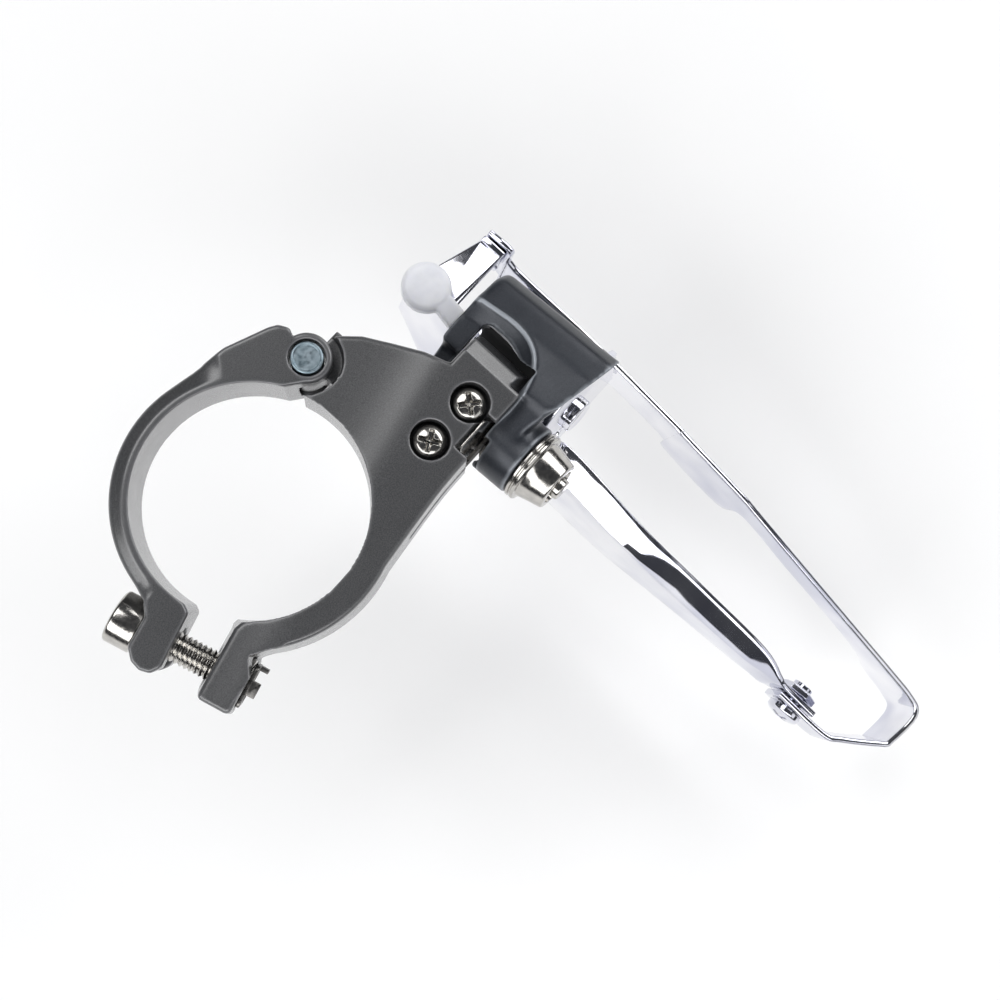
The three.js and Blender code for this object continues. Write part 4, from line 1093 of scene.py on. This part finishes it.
def inner_slip(y, share, lean):
    """The inner plate rolls over near its top edge, flatter in front and steeper towards the tail."""
    tail = 1 / (1 + math.exp((y + 61) / 2.5))
    screw_end = 1 / (1 + math.exp((y + 89) / 1.5))
    front = 1 / (1 + math.exp(-(y + 12) / 2.0))
    roll = 0.07 + 0.16 * tail
    curved = 1 - (1 - min(1.0, share / roll)) ** 1.15
    straight = min(1.0, max(front, screw_end))
    ridge = math.exp(-(((y + 33.0) / 9.0) ** 4)) * math.exp(-(((share - 0.10) / 0.035) ** 2))
    return lean * (straight * share + (1 - straight) * curved) - 0.5 * ridge


def make_inner_plate():
    wall = ribbon(INNER_PATH, rows=22, slip=inner_slip)
    bridge_outline = rounded([(44.4, 7.8), (58.1, 3.6), (58.1, -1.0), (43.6, -1.0)], 0.5)
    tilt = Matrix(((1, 0, 0, 0), (0, 1, 0, 0), (0, -0.25, 1, -0.25), (0, 0, 0, 1)))
    bridge = prism(bridge_outline, rounded_levels(-12.0 - PLATE, -12.0, 0.3), tilt)
    fold = block(57.4, 58.7, -1.0, 3.6, -20.5, -12.0, 0.3)
    plate = drilled(join(wall, bridge, fold))
    piece(plate, "cage_inner_sheet", "cage_body", "chrome", "cage_inner_plate", sharp=35)


def make_yoke():
    """The bent bracket between the two cage plates; its rear wall is riveted to the outer link's ear."""
    front, rear, top, inboard, outboard = 11.5, -7.4, -19.7, 9.0, 25.2
    wall_front = rounded([
        (inboard, top - PLATE), (outboard, top - PLATE), (outboard, -16.5), (PIVOT_C[0] + 5.5, -11.0),
        *plain_arc(*PIVOT_C, 3.6, 60, 180, 16), (inboard, top),
    ], 0.8)
    wall_rear = rounded([
        (inboard + 2.5, top - PLATE), (outboard, top - PLATE),
        *plain_arc(*PIVOT_C, 13.0, 33, 140, 28), (inboard - 2.5, -14.0),
    ], 1.2)
    ear_d = [(inboard - 2.6, top - PLATE), (inboard + 6.2, top - PLATE), *arc(*PIVOT_D, 2.6, 0, 180, 20)]
    foot = block(inboard - 2.6, outboard, rear - PLATE, front + PLATE, top - PLATE, top, 0.25)
    foot = cut(foot, block(inboard + 5, outboard - 3.5, rear + 2, front - 2, top - 5, top + 2, 1.0))
    yoke = join(
        foot,
        slab_y(wall_rear, rear - PLATE, rear, 0.3),
        slab_y(wall_front, front, front + PLATE, 0.3),
        slab_y(ear_d, 4.7, 5.7, 0.2),
        slab_y(ear_d, -1.1, -0.1, 0.2),
    )
    yoke = cut(yoke, rod_y(PIVOT_C, SMALL_PIN_HOLE, *THROUGH), rod_y(PIVOT_D, SMALL_PIN_HOLE, *THROUGH))
    yoke.data.transform(LINKAGE)
    cast(yoke, 0.17, 2)
    piece(yoke, "cage_yoke_pressed", "cage_body", "chrome", "cage_yoke", sharp=0)


def across_cage(obj, at):
    obj.data.transform(Matrix.Translation((0, *at)) @ Z_TO_X)
    return obj


def make_cage_fasteners():
    dome = [(2.6 * math.sin(a), 60.5 + 0.6 * math.cos(a)) for a in np.linspace(math.pi / 2, 0.1, 8)]
    tail = [(0, 56.5), (2.1, 56.5), (2.5, 56.7), (2.6, 57.1), (1.5, 57.1), (1.5, 60.5)]
    rivet = across_cage(lathe([*tail, *dome, (0, 61.1)], 48), RIVET)
    piece(rivet, "bridge_rivet_domed", "cage_body", "chrome", "front_bridge_rivet")
    pan = [(3.4 * math.sin(a), 38.0 - 1.0 * math.cos(a)) for a in np.linspace(0.12, math.pi / 2, 9)]
    screw = lathe([(0, 37.0), *pan, (3.4, 38.8), (2.0, 38.8), (2.0, 44.6), (0, 44.6)])
    slots = []
    for turn in (20, 110):
        across = Matrix.Rotation(math.radians(turn), 4, "Z")
        slots.append(block(-2.0, 2.0, -0.42, 0.42, 36.0, 38.1, 0.1, across))
    screw = across_cage(cut(screw, *slots), TAIL_SCREW)
    piece(screw, "tail_screw_cross", "cage_body", "chrome", "tail_screw")
    nut = prism(arc(0, 0, 3.6, 12, 312, 5), [(-0.35, 42.1), (0, 42.4), (0, 43.4), (-0.35, 43.7)])
    nut = across_cage(cut(nut, rod(2.3, 40, 50)), TAIL_SCREW)
    piece(nut, "tail_nut_hex", "cage_body", "chrome", "tail_nut")


def make_alignment_block():
    low, high = -11.7, -9.3
    x, y, radius = 44.85, 4.55, 4.2
    disc = prism(arc(x, y, radius, 0, 354, 59), rounded_levels(low, high, 0.5))
    neck_outline = rounded([(43.2, 2.0), (46.9, 3.0), (46.0, -3.0), (42.3, -2.8)], 0.5)
    neck = prism(neck_outline, rounded_levels(low, high, 0.4))
    pull = prism(arc(x, y, radius - 0.6, 0, 354, 59), rounded_levels(high - 0.5, high + 0.25, 0.25))
    body = join(disc, neck, pull)
    cast(body, 0.16, 14)
    piece(body, "alignment_block_nylon", "block_body", "nylon", "alignment_block", sharp=0)


make_bracket()
make_band()
make_clamp_bolt()
make_hinge_pin()
make_limit_screw("limit_screw_high_cross", "limit_screw_high", HIGH_SCREW, "high_screw_body", 50)
make_limit_screw("limit_screw_low_cross", "limit_screw_low", LOW_SCREW, "low_screw_body", 28)
make_clamp_nut()
make_nut_clip()
make_outer_link()
make_bush("front_link_bush_sleeve", "front_link_bush", 6.9, 11.1, "outer_link_body")
make_bush("rear_link_bush_sleeve", "rear_link_bush", -10.8, -5.85, "outer_link_body")
make_return_spring()
make_thrust_plate()
make_spring_cap()
make_pins()
make_inner_link()
make_cable_clamp()
make_yoke()
make_cage_fasteners()
make_outer_plate()
make_inner_plate()
make_alignment_block()


# ---- studio
def look_from(location, target):
    return (Vector(target) - Vector(location)).to_track_quat("-Z", "Y").to_matrix().to_4x4()


def make_floor():
    mesh = bpy.data.meshes.new("studio_floor")
    bm = bmesh.new()
    bmesh.ops.create_grid(bm, x_segments=1, y_segments=1, size=3.0)
    bm.to_mesh(mesh)
    bm.free()
    floor = new_object("studio_floor", mesh)
    floor.location = (0, 0, -0.075)
    finish = Finish("studio_floor", 0.0)
    finish.colour(finish.mix(finish.noise(60.0, 2), (0.93, 0.93, 0.93), (0.95, 0.95, 0.95)))
    finish.shader.inputs["Roughness"].default_value = 0.9
    floor.data.materials.append(finish.material)


def make_lamp(name, location, size, watts, target=(0.02, -0.03, 0)):
    lamp = bpy.data.lights.new(name, "AREA")
    lamp.shape = "RECTANGLE"
    lamp.size, lamp.size_y = size
    lamp.energy = watts
    obj = new_object(name, lamp)
    obj.matrix_world = Matrix.Translation(location) @ look_from(location, target)


def make_world():
    world = bpy.data.worlds.new("studio")
    bpy.context.scene.world = world
    world.use_nodes = True
    background = world.node_tree.nodes["Background"]
    background.inputs["Color"].default_value = (0.90, 0.92, 1.00, 1)
    background.inputs["Strength"].default_value = 0.07


def make_camera():
    camera = bpy.data.cameras.new("camera")
    camera.lens = 44.93
    camera.sensor_width = 36.0
    camera.clip_start = 0.01
    obj = new_object("camera", camera)
    azimuth, elevation, roll, distance = math.radians(253.2), math.radians(81.5), math.radians(58.7), 0.1923
    turn = Matrix.Rotation(azimuth, 4, "Z") @ Matrix.Rotation(math.pi / 2 - elevation, 4, "X")
    turn = turn @ Matrix.Rotation(roll, 4, "Z")
    obj.matrix_world = Matrix.Translation((0.0255, -0.0271, 0)) @ turn @ Matrix.Translation((0, 0, distance))
    bpy.context.scene.camera = obj


make_floor()
make_world()
make_lamp("left", (-0.80, 0.10, 0.62), (1.0, 0.6), 6.2)
make_lamp("right", (0.85, -0.15, 0.62), (1.0, 0.6), 6.8)
make_lamp("forward", (0.10, 0.62, 1.00), (0.7, 0.5), 3.9)
make_lamp("behind", (0.05, -0.95, 0.60), (0.8, 0.5), 1.2)
make_lamp("over_tail", (-0.46, -0.50, 0.74), (0.7, 0.5), 3.2, (0.04, -0.05, 0))
make_camera()
bpy.context.scene.view_settings.view_transform = "Standard"
